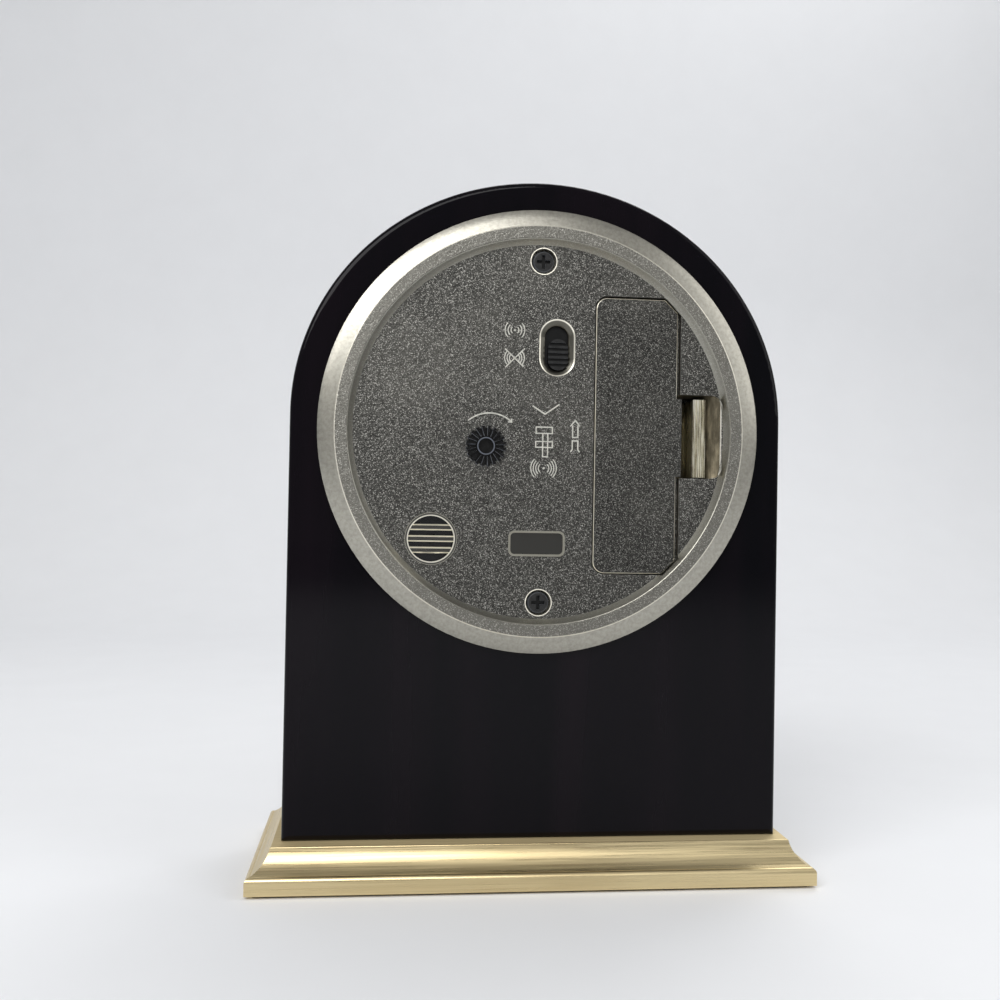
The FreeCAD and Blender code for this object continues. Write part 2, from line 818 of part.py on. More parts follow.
def fifth_wheel():
    """First reduction wheel after the rotor."""
    wheel = gear(fifth_teeth, rotor_module, fifth_phase, layer_front(fifth_layer), fifth_axis)
    pinion = gear(fifth_pinion_teeth, second_module, fifth_phase, layer_front(second_layer), fifth_axis)
    return joined(wheel, pinion, pivoted_arbor(fifth_axis))


def rotor():
    """Round magnet with its pinion."""
    magnet = rod(magnet_radius, magnet_front, magnet_front + magnet_length, rotor_axis)
    pinion = gear(rotor_teeth, rotor_module, rotor_phase, layer_front(fifth_layer), rotor_axis)
    return joined(magnet, pinion, pivoted_arbor(rotor_axis))


# Hands
def hand_front(order):
    """Front face of a hand, counted from the dial: alarm 0, hour 1, minute 2, second 3."""
    return dial_front - first_hand_gap - hand_thickness - order * (hand_thickness + hand_gap)


def hand(order, pipe_radius, length, tail, width, turn_deg):
    """Tapered hand with a round hub, turned clockwise from twelve as the dial is read."""
    front = hand_front(order)
    tip = width * hand_tip_share / 2
    end = width * hand_tail_share / 2
    outline = [(-end, -tail), (-width / 2, 0), (-tip, length), (tip, length), (width / 2, 0), (end, -tail)]
    blade = plate_from(outline, front, front + hand_thickness)
    hub = rod(pipe_radius + hand_hub_wall, front, front + hand_thickness)
    blade = joined(blade, hub).cut(rod(pipe_radius + press_clearance, front, front + hand_thickness))
    blade.rotate(place(dial_axis, 0), Vector(0, 1, 0), turn_deg)
    return blade


minute_turns = (shown_minute + shown_second / 60) / 60
second_hand_deg = shown_second * 360 / 60
minute_hand_deg = minute_turns * 360
hour_hand_deg = (shown_hour + minute_turns) * 360 / 12
alarm_hand_deg = alarm_set_hour * 360 / 12


def alarm_hand():
    """Short hand that shows the alarm time."""
    sizes = (alarm_hand_length, alarm_hand_tail, alarm_hand_width)
    return hand(alarm_order, alarm_outer, *sizes, alarm_hand_deg)


def hour_hand():
    """Hour hand."""
    sizes = (hour_hand_length, hour_hand_tail, hour_hand_width)
    return hand(hour_order, hour_outer, *sizes, hour_hand_deg)


def minute_hand():
    """Minute hand."""
    sizes = (minute_hand_length, minute_hand_tail, minute_hand_width)
    return hand(minute_order, cannon_outer, *sizes, minute_hand_deg)


def second_hand():
    """Sweep second hand with a long tail."""
    sizes = (second_hand_length, second_hand_tail, second_hand_width)
    return hand(second_order, second_arbor_radius, *sizes, second_hand_deg)


# Motor
def stator_middle():
    """Middle plane of the stator, half way along the magnet."""
    return magnet_front + magnet_length / 2


def core_rear():
    """Rear face of the coil core, which lies on the stator."""
    return stator_middle() + stator_thickness * 3 / 2


def coil_ends():
    """Places of the two posts that hold the stator legs and the coil core."""
    x, z = rotor_axis
    return [(x + side * (stator_leg_spread - stator_leg_width / 2), z - coil_drop) for side in (-1, 1)]


def stator():
    """Soft-iron plate round the rotor with two legs down to the coil."""
    x, z = rotor_axis
    wide = stator_half_width
    spread = stator_leg_spread
    leg = stator_leg_width
    low = -coil_drop - leg / 2
    half = [(0, wide), (wide, wide), (wide, 0), (spread, -wide), (spread, low)]
    half += [(spread - leg, low), (spread - leg, -wide), (0, -wide)]
    outline = [(x + dx, z + dz) for dx, dz in half]
    outline += [(x - dx, z + dz) for dx, dz in reversed(half[1:-1])]
    front = stator_middle() - stator_thickness / 2
    rear = stator_middle() + stator_thickness / 2
    plate = plate_from(outline, front, rear)
    holes = [rod(magnet_radius + stator_hole_clearance, front, rear, rotor_axis)]
    holes += [rod(post_tip_radius + running_clearance, front, rear, spot) for spot in coil_ends()]
    return plate.cut(Part.makeCompound(holes))


def coil_core():
    """Flat core bar through the coil, pinned on the stator legs."""
    front = stator_middle() + stator_thickness / 2
    left, right = coil_ends()
    reach = stator_leg_width / 2
    middle = left[1]
    x_range = (left[0] - reach, right[0] + reach)
    z_range = (middle - core_width / 2, middle + core_width / 2)
    bar = slab(x_range, (front, core_rear()), z_range)
    holes = [rod(post_tip_radius + running_clearance, front, core_rear(), spot) for spot in coil_ends()]
    return bar.cut(Part.makeCompound(holes))


def coil():
    """Round winding between two flanges, on the core."""
    left, right = coil_ends()
    middle_x = (left[0] + right[0]) / 2
    middle_y = (stator_middle() + stator_thickness / 2 + core_rear()) / 2
    start = place((middle_x - coil_length / 2, left[1]), middle_y)
    along = Vector(1, 0, 0)
    winding = Part.makeCylinder(coil_radius, coil_length, start, along)
    last = start + along * (coil_length - coil_flange_width)
    flange_size = (coil_flange_radius, coil_flange_width)
    flanges = [Part.makeCylinder(*flange_size, spot, along) for spot in (start, last)]
    half_bar = core_width / 2 + running_clearance
    half_core = stator_thickness / 2 + running_clearance
    x_range = (middle_x - coil_length / 2, middle_x + coil_length / 2)
    y_range = (middle_y - half_core, middle_y + half_core)
    window = slab(x_range, y_range, (left[1] - half_bar, left[1] + half_bar))
    return joined(winding, *flanges).cut(window)


# Back plate
def back_plate():
    """Plate behind the train, on the four pillars."""
    margin = back_plate_margin
    corners = [(x + math.copysign(margin, x), z + math.copysign(margin, z)) for x, z in pillar_places]
    plate = rounded_plate(corners, plate_corner_round, back_plate_front, back_plate_rear)
    holes = [rod(second_arbor_radius + running_clearance, back_plate_front, back_plate_rear)]
    for spot in (third_axis, fifth_axis, rotor_axis, minute_axis):
        holes.append(rod(arbor_radius + running_clearance, back_plate_front, back_plate_rear, spot))
    for spot in pillar_places:
        holes.append(rod(plate_screw_radius + running_clearance, back_plate_front, back_plate_rear, spot))
    holes.append(rod(sleeve_radius + running_clearance, back_plate_front, back_plate_rear, knob_axis))
    return plate.cut(Part.makeCompound(holes))


def movement_screws():
    """Four screws through the back plate into the pillars."""
    screws = []
    for spot in pillar_places:
        head = rod(plate_screw_head_radius, back_plate_rear, back_plate_rear + plate_screw_head_height, spot)
        shank = rod(plate_screw_radius, back_plate_rear - plate_screw_depth, back_plate_rear, spot)
        screws.append(joined(head, shank))
    return Part.makeCompound(screws)


# Setting stem
def stem_section(radius, flat, y_front, y_rear):
    """Round rod with one flat along it, on the knob's axis."""
    round_rod = rod(radius, y_front, y_rear, knob_axis)
    x, z = knob_axis
    return round_rod.common(slab((x - radius, x + flat), (y_front, y_rear), (z - radius, z + radius)))


def knob_inner():
    """Inner end of the knob."""
    return floor_outer + knob_proud - knob_length


def setting_stem():
    """Stem with the pinion that meshes with the alarm wheel, or with the minute wheel when pulled."""
    front = layer_front(alarm_layer)
    pinion = gear(knob_teeth, setting_module, knob_phase, front, knob_axis)
    return joined(pinion, stem_section(stem_radius, stem_flat, front, knob_inner() + stem_seat_depth))


def setting_sleeve():
    """Bush that turns in the back plate and lets the keyed stem slide through it."""
    flange_rear = back_plate_rear + running_clearance + sleeve_flange_thickness
    barrel = rod(sleeve_radius, back_plate_front, flange_rear, knob_axis)
    flange = rod(sleeve_flange_radius, back_plate_rear + running_clearance, flange_rear, knob_axis)
    bore_radius = stem_radius + running_clearance
    bore_flat = stem_flat + running_clearance
    return joined(barrel, flange).cut(stem_section(bore_radius, bore_flat, back_plate_front, flange_rear))


def setting_knob():
    """Knob with a notched crown of radial ribs round a dished centre, on a barrel in the cover's hole."""
    inner = knob_inner()
    outer = floor_outer + knob_proud
    crown = rod(knob_radius, outer - knob_crown_height, outer, knob_axis)
    knob = joined(crown, rod(knob_barrel_radius, inner, outer, knob_axis))
    x, z = knob_axis
    grooves = []
    for number in range(knob_ribs):
        half = knob_groove_width / 2
        reach = (x + knob_hub_radius, x + knob_radius + knob_groove_width)
        groove = slab(reach, (outer - knob_groove_depth, outer), (z - half, z + half))
        groove.rotate(place(knob_axis, 0), Vector(0, 1, 0), number * 360 / knob_ribs)
        grooves.append(groove)
    knob = knob.cut(Part.makeCompound(grooves))
    knob = knob.cut(rod(knob_dimple_radius, outer - knob_dimple_depth, outer, knob_axis))
    bore_radius = stem_radius + press_clearance
    bore_flat = stem_flat + press_clearance
    return knob.cut(stem_section(bore_radius, bore_flat, inner, inner + stem_seat_depth))


# Rear cover
def cover_screw_places():
    """Places of the two cover screws."""
    return [(0.0, -cover_boss_offset), (0.0, cover_boss_offset)]


def cover_screw_seat():
    """Depth at which the heads of the cover screws rest."""
    return floor_outer - cover_screw_recess_depth


def door_outline(inset, far_inset, top_inset, y):
    """Outline of the battery door: round corners at the hinge side, cut corners at the far side."""
    near = -(door_hinge_offset + inset)
    far = -(door_far - far_inset)
    low = door_bottom + inset
    high = door_top - top_inset
    low_cut = door_chamfer + inset * math.sqrt(2) - far_inset - inset
    high_cut = door_chamfer + inset * math.sqrt(2) - far_inset - top_inset
    radius = door_corner_radius - inset
    bend = radius * (1 - math.sqrt(0.5))
    spots = [(near, low + radius), (near, high - radius), (near - bend, high - bend)]
    spots += [(near - radius, high), (far + high_cut, high), (far, high - high_cut), (far, low + low_cut)]
    spots += [(far + low_cut, low), (near - radius, low), (near - bend, low + bend)]
    points = [place(spot, y) for spot in spots]
    edges = [Part.LineSegment(points[0], points[1]).toShape()]
    edges.append(Part.Arc(points[1], points[2], points[3]).toShape())
    edges += [Part.LineSegment(*pair).toShape() for pair in zip(points[3:8], points[4:9])]
    edges.append(Part.Arc(points[8], points[9], points[0]).toShape())
    return Part.Wire(edges)


def door_block(inset, y_front, y_rear):
    """Solid with the door's outline, smaller by an inset all round."""
    outline = door_outline(inset, inset, inset, y_front)
    return Part.Face(outline).extrude(Vector(0, y_rear - y_front, 0))


def door_opening():
    """Seat of the door in the floor, with a wider seam at the latch side and at the top."""
    outline = door_outline(-door_seam, -door_latch_seam, -door_top_seam, ledge_top)
    return Part.Face(outline).extrude(Vector(0, floor_outer + floor_cut_overrun - ledge_top, 0))


def recess_void():
    """Space of the finger recess, with a curved scoop on its outer side."""
    wall = -(door_far - ledge_width + bay_wall)
    far = -(door_far + recess_reach)
    edge = -(door_hinge_offset + recess_edge_offset)
    top = floor_outer + floor_cut_overrun
    scoop_end = floor_outer - scoop_drop
    bottom = floor_outer - recess_depth
    low = dial_z + latch_bottom - recess_bottom_margin
    high = dial_z + latch_top + recess_top_margin
    spots = [(wall, top), (far, top), (far, floor_outer), (edge, scoop_end), (edge, bottom), (wall, bottom)]
    points = [Vector(x, y, low) for x, y in spots]
    middle = (points[2] + points[3]) * 0.5 + Vector(scoop_bulge, scoop_bulge, 0)
    edges = [Part.LineSegment(*pair).toShape() for pair in zip(points[:2], points[1:3])]
    edges.append(Part.Arc(points[2], middle, points[3]).toShape())
    edges += [Part.LineSegment(*pair).toShape() for pair in zip(points[3:], points[4:] + points[:1])]
    void = Part.Face(Part.Wire(edges)).extrude(Vector(0, 0, high - low))
    reach = -(door_far - 2 * recess_corner_radius)
    corners = [(reach, low - dial_z), (far, low - dial_z), (far, high - dial_z), (reach, high - dial_z)]
    return void.common(rounded_plate(corners, recess_corner_radius, bottom, top))


def recess_block():
    """Solid round the finger recess, under the cover's floor."""
    wall = recess_block_wall
    far = -(door_far + recess_reach + wall)
    bottom = floor_outer - recess_depth - wall
    low = latch_bottom - recess_bottom_margin - wall
    high = latch_top + recess_top_margin + wall
    block = slab((-(door_far - ledge_width), far), (bottom, floor_inner), (low, high))
    return block.common(rod(skirt_outer, bottom, floor_inner))


def rise(height):
    """Depth of a height above the case's rear face."""
    return case_rear + height


def cover_shell():
    """Turned form of the cover: chamfered rim, flat crest, sunk floor and a skirt into the bore."""
    under_crest = crest_height - cover_wall
    profile = [(0, floor_outer), (floor_radius, floor_outer), (crest_inner_radius, rise(crest_height))]
    profile += [(crest_outer_radius, rise(crest_height)), (cover_radius, rise(cover_edge_height))]
    profile += [(cover_radius, case_rear), (cover_radius - cover_wall, case_rear)]
    profile += [(crest_outer_radius - bore_clearance, rise(under_crest)), (skirt_outer, rise(under_crest))]
    profile += [(skirt_outer, rise(-skirt_depth)), (skirt_inner, rise(-skirt_depth))]
    profile += [(skirt_inner, floor_inner), (0, floor_inner)]
    shell = turned(profile)
    crest = [
        edge
        for edge in shell.Edges
        if abs(edge.BoundBox.YMax - rise(crest_height)) < press_clearance
        and abs(edge.BoundBox.YMin - rise(crest_height)) < press_clearance
    ]
    return shell.makeFillet(crest_round, crest)


def grille_cut():
    """Openings of the sounder grille between its bars."""
    spot = (grille_offset_x, grille_offset_z)
    hole = rod(grille_radius, floor_inner, floor_outer + grille_rim_height, spot)
    bars = []
    for number in range(grille_bars):
        middle = grille_offset_z + (number - (grille_bars - 1) / 2) * grille_bar_pitch
        x_range = (grille_offset_x - grille_radius, grille_offset_x + grille_radius)
        z_range = (middle - grille_bar_height / 2, middle + grille_bar_height / 2)
        bar = slab(x_range, (floor_inner, floor_outer), z_range)
        outer = [edge for edge in bar.Edges if edge.BoundBox.YMin > floor_outer - grille_bar_bevel]
        long_edges = [edge for edge in outer if edge.BoundBox.XLength > grille_radius]
        bars.append(bar.makeChamfer(grille_bar_bevel, long_edges))
    return hole.cut(Part.makeCompound(bars))


def switch_middle():
    """Offset of the middle of the switch slot from the dial axis."""
    return (switch_offset_x, switch_slot_bottom + switch_slot_height / 2)


def switch_cut():
    """Switch slot with a bevelled mouth."""
    middle = switch_middle()
    slot = oval_block(switch_slot_width, switch_slot_height, middle, floor_inner, floor_outer)
    mouth_width = switch_slot_width + 2 * switch_bevel_width
    mouth_height = switch_slot_height + 2 * switch_bevel_width
    mouth = oval(mouth_width, mouth_height, middle, floor_outer)
    neck = oval(switch_slot_width, switch_slot_height, middle, floor_outer - switch_bevel_depth)
    return slot.fuse(Part.makeLoft([neck, mouth], True, True))


def pad_block(margin, y_front, y_rear):
    """Label pad outline, larger by a margin."""
    half_width = pad_width / 2 + margin
    half_height = pad_height / 2 + margin
    x, z = pad_offset_x, pad_offset_z
    points = [(x - half_width, z - half_height), (x + half_width, z - half_height)]
    points += [(x + half_width, z + half_height), (x - half_width, z + half_height)]
    return rounded_plate(points, pad_corner_radius + margin, y_front, y_rear)


def lug_places():
    """Heights of the two hinge lugs on the door's near edge."""
    middle = (door_bottom + door_top) / 2
    return [middle - lug_spacing / 2, middle + lug_spacing / 2]


def rear_cover():
    """Moulded cover with battery bay, finger recess, grille, switch slot and knob hole."""
    grille_spot = (grille_offset_x, grille_offset_z)
    collar_inner = sounder_radius + sounder_collar_clearance
    added = [door_block(-ledge_flange, floor_inner - ledge_thickness, floor_inner)]
    bay = door_block(ledge_width - bay_wall, bay_outer, ledge_top)
    added.append(bay.common(rod(skirt_outer, bay_outer, ledge_top)))
    added.append(recess_block())
    rim_radius = grille_radius + grille_rim_width
    added.append(rod(rim_radius, floor_inner, floor_outer + grille_rim_height, grille_spot))
    collar_outer = collar_inner + sounder_collar_thickness
    collar = tube(collar_outer, collar_inner, floor_inner - sounder_collar_depth, floor_inner, grille_spot)
    added.append(collar.common(rod(skirt_outer, floor_inner - sounder_collar_depth, floor_inner)))
    tube_end = floor_inner - cover_tube_length
    added += [rod(cover_tube_radius, tube_end, floor_inner, spot) for spot in cover_screw_places()]
    added += [rod(board_post_radius, board_rear, floor_inner, spot) for spot in board_post_places]
    knob_hole = knob_barrel_radius + knob_hole_clearance
    knob_collar = knob_hole + knob_collar_thickness
    added.append(rod(knob_collar, floor_inner - knob_collar_depth, floor_inner, knob_axis))
    rail_reach = switch_plate_width / 2 + switch_rail_clearance
    rail_front = floor_inner - switch_plate_gap - switch_plate_thickness
    rail_half = switch_slot_height / 2 + switch_plate_overlap + switch_travel
    x, z = switch_middle()
    for side in (-1, 1):
        x_range = (x + side * rail_reach, x + side * (rail_reach + switch_rail_width))
        added.append(slab(x_range, (rail_front, floor_inner), (z - rail_half, z + rail_half)))
    added.append(pad_block(pad_border, floor_inner, floor_outer + pad_border_height))
    cover = joined(cover_shell(), *added)
    removed = [door_opening()]
    removed.append(door_block(ledge_width, bay_inner, floor_outer))
    removed.append(grille_cut())
    removed.append(switch_cut())
    removed.append(rod(knob_hole, floor_inner - knob_collar_depth, floor_outer, knob_axis))
    removed.append(pad_block(0, floor_outer - pad_sink, floor_outer + pad_border_height))
    removed.append(recess_void())
    for spot in cover_screw_places():
        removed.append(rod(cover_screw_recess_radius, cover_screw_seat(), floor_outer, spot))
        hole = cover_screw_radius + cover_screw_clearance
        removed.append(rod(hole, floor_inner - cover_tube_length, cover_screw_seat(), spot))
    pilot = board_screw_radius + press_clearance
    for spot in board_post_places:
        removed.append(rod(pilot, board_rear, board_rear + board_screw_depth, spot))
    notch_bottom = floor_outer - lug_drop - lug_thickness - 2 * lug_clearance
    notch_near = -(door_hinge_offset - lug_reach - lug_clearance)
    notch_far = -(door_hinge_offset + ledge_width + lug_clearance)
    for height in lug_places():
        z_range = (height - lug_width / 2 - lug_clearance, height + lug_width / 2 + lug_clearance)
        removed.append(slab((notch_near, notch_far), (notch_bottom, floor_inner), z_range))
        removed.append(slab((-(door_hinge_offset - door_seam), notch_far), (floor_inner, ledge_top), z_range))
    return cover.cut(Part.makeCompound(removed))


def cross_recess(radius_reach, y_outer, offset):
    """Crossed slots for a screwdriver."""
    x, z = offset
    half = cross_recess_width / 2
    depth = (y_outer - cross_recess_depth, y_outer)
    flat = slab((x - radius_reach, x + radius_reach), depth, (z - half, z + half))
    return flat.fuse(slab((x - half, x + half), depth, (z - radius_reach, z + radius_reach)))


def rear_cover_screws():
    """Two long cross-recess screws that draw the cover and the front together."""
    screws = []
    for spot in cover_screw_places():
        seat = cover_screw_seat()
        head = rod(cover_screw_head_radius, seat, seat + cover_screw_head_height, spot)
        rims = [edge for edge in head.Edges if edge.BoundBox.YMin > seat + cover_screw_head_round]
        head = head.makeFillet(cover_screw_head_round, rims)
        shank = rod(cover_screw_radius, seat - cover_screw_length, seat, spot)
        screw = joined(head, shank)
        screws.append(screw.cut(cross_recess(cross_recess_reach, seat + cover_screw_head_height, spot)))
    return Part.makeCompound(screws)


# Battery door and latch
def tongue_pivot():
    """Middle of the fold where the tongue leaves the door, as x and y."""
    x = -(door_far - ledge_width + bay_wall + tongue_wall_gap + tongue_thickness / 2)
    return x, floor_outer - tongue_drop


def battery_door():
    """Flat door with two hinge lugs, a step at the latch and the fixed leg of the tongue."""
    door = door_block(0, door_inner, floor_outer)
    arris = [edge for edge in door.Edges if edge.BoundBox.YMin > floor_outer - door_edge_round]
    door = door.makeFillet(door_edge_round, arris)
    pivot_x, pivot_y = tongue_pivot()
    leg_outer = pivot_x - tongue_thickness / 2
    leg_inner = pivot_x + tongue_thickness / 2
    latch_range = (latch_bottom, latch_top)
    added = [slab((-(door_far - latch_root), leg_outer), (door_inner, floor_outer), latch_range)]
    added.append(slab((leg_inner, leg_outer), (pivot_y, door_inner), latch_range))
    knuckle = Part.makeCylinder(
        tongue_thickness / 2, latch_top - latch_bottom, Vector(pivot_x, pivot_y, dial_z + latch_bottom)
    )
    added.append(knuckle)
    lug_outer = floor_outer - lug_drop
    root = -(door_hinge_offset + lug_root_inset)
    for height in lug_places():
        z_range = (height - lug_width / 2, height + lug_width / 2)
        reach = (-(door_hinge_offset - lug_reach), root - lug_root_width)
        added.append(slab(reach, (lug_outer - lug_thickness, lug_outer), z_range))
        added.append(slab((root, root - lug_root_width), (lug_outer, door_inner), z_range))
    return joined(door, *added)


def battery_door_latch():
    """Moving half of the folded tongue, with a ribbed finger pad on its end."""
    pivot_x, pivot_y = tongue_pivot()
    low = dial_z + latch_bottom
    height = latch_top - latch_bottom
    half = tongue_thickness / 2
    mean = tongue_spread / 2
    middle = Vector(pivot_x - mean, pivot_y, low)
    fold = Part.makeCylinder(mean + half, height, middle).cut(Part.makeCylinder(mean - half, height, middle))
    x_range = (pivot_x + tongue_spread, pivot_x - 2 * tongue_spread)
    fold = fold.common(slab(x_range, (pivot_y - tongue_spread, pivot_y), (latch_bottom, latch_top)))
    knuckle_space = Part.makeCylinder(half + latch_pivot_gap, height, Vector(pivot_x, pivot_y, low))
    fold = fold.cut(knuckle_space)
    pad_outer = floor_outer - latch_pad_recess
    pad_inner = pad_outer - latch_pad_height
    leg_x = pivot_x - tongue_spread
    latch_range = (latch_bottom, latch_top)
    leg = slab((leg_x + half, leg_x - half), (pivot_y, pad_inner), latch_range)
    pad_near = leg_x + tongue_thickness
    pad_far = pad_near - latch_pad_width
    pad = slab((pad_near, pad_far), (pad_inner, pad_outer), latch_range)
    latch = joined(fold, leg, pad)
    pitch = latch_pad_width / (latch_ridges + 1)
    grooves = []
    for number in range(1, latch_ridges + 1):
        x = pad_near - number * pitch
        x_range = (x - latch_ridge_width / 2, x + latch_ridge_width / 2)
        grooves.append(slab(x_range, (pad_outer - latch_ridge_depth, pad_outer), latch_range))
    return latch.cut(Part.makeCompound(grooves))


# Battery and contacts
def bay_ends():
    """Inner end walls of the battery bay, lower and upper, as offsets from the dial axis."""
    return door_bottom + ledge_width, door_top - ledge_width


def battery_cell():
    """Round cell with its nub up and crimped ends."""
    _, bay_top = bay_ends()
    top = dial_z + bay_top - contact_thickness - contact_bulge_height
    axis = Vector(cell_x, cell_y, top - cell_length)
    body = Part.makeCylinder(cell_radius, cell_length - cell_nub_height, axis)
    nub = Part.makeCylinder(cell_nub_radius, cell_length, axis)
    cell = joined(body, nub)
    least = 2 * cell_radius - cell_crimp_depth
    flat = [edge for edge in cell.Edges if edge.BoundBox.ZLength < press_clearance]
    return cell.makeChamfer(cell_crimp_depth, [edge for edge in flat if edge.BoundBox.XLength > least])


def contact_positive():
    """Flat spring plate with a pressed bulge that meets the nub."""
    _, top = bay_ends()
    x_range = (cell_x - contact_width / 2, cell_x + contact_width / 2)
    y_range = (cell_y - contact_height / 2, cell_y + contact_height / 2)
    sheet = slab(x_range, y_range, (top - contact_thickness, top))
    centre = Vector(cell_x, cell_y, dial_z + top - contact_thickness)
    bulge_size = (contact_bulge_radius, contact_bulge_radius / 2, contact_bulge_height)
    bulge = Part.makeCone(*bulge_size, centre, Vector(0, 0, -1))
    return joined(sheet, bulge)


def contact_negative():
    """Flat plate with a tapered coil spring that presses the cell's flat end."""
    bottom, _ = bay_ends()
    x_range = (cell_x - contact_width / 2, cell_x + contact_width / 2)
    y_range = (cell_y - contact_height / 2, cell_y + contact_height / 2)
    sheet = slab(x_range, y_range, (bottom, bottom + contact_thickness))
    foot = bottom + contact_thickness
    climb = spring_height - spring_wire_radius
    path = Part.makeHelix(climb / spring_turns, climb, spring_large_radius, spring_taper_deg)
    wire_ring = Part.makeCircle(spring_wire_radius, Vector(spring_large_radius, 0, 0), Vector(0, 1, 0))
    coil_wire = Part.Wire(path.Edges).makePipeShell([Part.Wire([wire_ring])], True, True)
    coil_wire.translate(Vector(cell_x, cell_y, dial_z + foot))
    return joined(sheet, coil_wire)


# Alarm switch
def switch_rest_middle():
    """Middle of the switch cap at rest, at the lower end of the slot."""
    cap_height = switch_slot_height - switch_travel - 2 * switch_end_clearance
    return (switch_offset_x, switch_slot_bottom + switch_end_clearance + cap_height / 2), cap_height


def alarm_switch_slider():
    """Ribbed cap on a wide plate that closes the slot from behind."""
    middle, cap_height = switch_rest_middle()
    x, z = middle
    plate_rear_face = floor_inner - switch_plate_gap
    plate_front_face = plate_rear_face - switch_plate_thickness
    half = switch_slot_height / 2 + switch_plate_overlap + switch_travel / 2
    half_width = switch_plate_width / 2
    plate = slab((x - half_width, x + half_width), (plate_front_face, plate_rear_face), (z - half, z + half))
    cap_outer = floor_outer - switch_cap_recess
    cap_width = switch_slot_width - 2 * switch_cap_clearance
    cap = oval_block(cap_width, cap_height, (x + switch_cap_shift, z), plate_rear_face, cap_outer)
    pitch = cap_height / (switch_ribs + 1)
    y_range = (cap_outer - switch_groove_depth, cap_outer)
    grooves = []
    for number in range(switch_ribs):
        height = z + (number - (switch_ribs - 1) / 2) * pitch
        z_range = (height - switch_groove_width / 2, height + switch_groove_width / 2)
        grooves.append(slab((x - half_width, x + half_width), y_range, z_range))
    return joined(plate, cap.cut(Part.makeCompound(grooves)))


def switch_contact():
    """Bent strip under the slider that wipes along the board."""
    (x, z), cap_height = switch_rest_middle()
    front = floor_inner - switch_plate_gap - switch_plate_thickness
    touch = board_rear + wiper_gap
    half = switch_wiper_length / 2
    inner = half - switch_wiper_foot
    sheet = switch_wiper_thickness
    spots = [(inner, front - sheet), (half - sheet, touch), (half, touch), (inner + sheet, front)]
    profile = [(z + dz, y) for dz, y in spots] + [(z - dz, y) for dz, y in reversed(spots)]
    points = [Vector(x - switch_wiper_width / 2, y, dial_z + height) for height, y in profile]
    face = Part.Face(Part.makePolygon(points + points[:1]))
    return face.extrude(Vector(switch_wiper_width, 0, 0))


# Circuit board
def circuit_board():
    """Printed board on three posts of the cover."""
    points = [(board_left, board_bottom), (board_right, board_bottom)]
    points += [(board_right, board_top), (board_left, board_top)]
    board = rounded_plate(points, board_corner_round, board_front, board_rear)
    hole = board_screw_radius + running_clearance
    holes = [rod(hole, board_front, board_rear, spot) for spot in board_post_places]
    return board.cut(Part.makeCompound(holes))


def board_screws():
    """Three small screws that hold the board to the posts."""
    screws = []
    for spot in board_post_places:
        head = rod(board_screw_head_radius, board_front - board_screw_head_height, board_front, spot)
        shank = rod(board_screw_radius, board_front, board_rear + board_screw_depth, spot)
        screws.append(joined(head, shank))
    return Part.makeCompound(screws)


def quartz_crystal():
    """Small can that lies on the board."""
    start = place((crystal_offset_x - crystal_length / 2, crystal_offset_z), board_front - crystal_radius)
    return Part.makeCylinder(crystal_radius, crystal_length, start, Vector(1, 0, 0))


def timing_chip():
    """Round potted chip on the board."""
    profile = [(0, board_front), (chip_radius, board_front)]
    shoulder_y = board_front - chip_height * chip_shoulder_height_share
    profile += [(chip_radius * chip_shoulder_radius_share, shoulder_y)]
    profile += [(chip_radius * chip_top_share, board_front - chip_height), (0, board_front - chip_height)]
    return turned(profile, (chip_offset_x, chip_offset_z))


def capacitor():
    """Upright capacitor on the board."""
    spot = (capacitor_offset_x, capacitor_offset_z)
    return rod(capacitor_radius, board_front - capacitor_length, board_front, spot)


def sounder():
    """Round sounder capsule with its port towards the grille."""
    spot = (grille_offset_x, grille_offset_z)
    rear = floor_inner - sounder_gap
    capsule = rod(sounder_radius, rear - sounder_length, rear, spot)
    return capsule.cut(rod(sounder_port_radius, rear - sounder_port_depth, rear, spot))


sub_parts = (
    case_block, base_plinth, base_felt, base_screws,
    bezel, lens, spacer_ring, dial, main_plate,
    alarm_wheel, hour_wheel, cannon_pinion, minute_wheel,
    centre_wheel, third_wheel, second_wheel, fifth_wheel, rotor,
    alarm_hand, hour_hand, minute_hand, second_hand,
    stator, coil_core, coil, back_plate, movement_screws,
    setting_stem, setting_sleeve, setting_knob,
    rear_cover, rear_cover_screws, battery_door, battery_door_latch,
    battery_cell, contact_positive, contact_negative,
    alarm_switch_slider, switch_contact,
    circuit_board, board_screws, quartz_crystal, timing_chip, capacitor, sounder,
)

os.makedirs("parts", exist_ok=True)
for make in sub_parts:
    shape = make()
    shape.exportStep(f"parts/{make.__name__}.step")
    print(f"{make.__name__}: {len(shape.Solids)} solids, valid {shape.isValid()}, {shape.Volume:.1f} mm3")
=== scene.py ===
"""Looks of the arch-topped desk alarm clock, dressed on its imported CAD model.

The clock is seen from behind: lacquered wood, a moulded brass base and the metallised rear cover
of a quartz alarm movement. Lengths are in metres and angles in degrees, unless a name or a
docstring says otherwise; X runs along the base, Z is up, the dial faces -Y and the cover +Y.
"""

import json
import logging
import math
from dataclasses import dataclass
from enum import Enum
from typing import Union

import bmesh
import bpy
from mathutils import Matrix, Vector

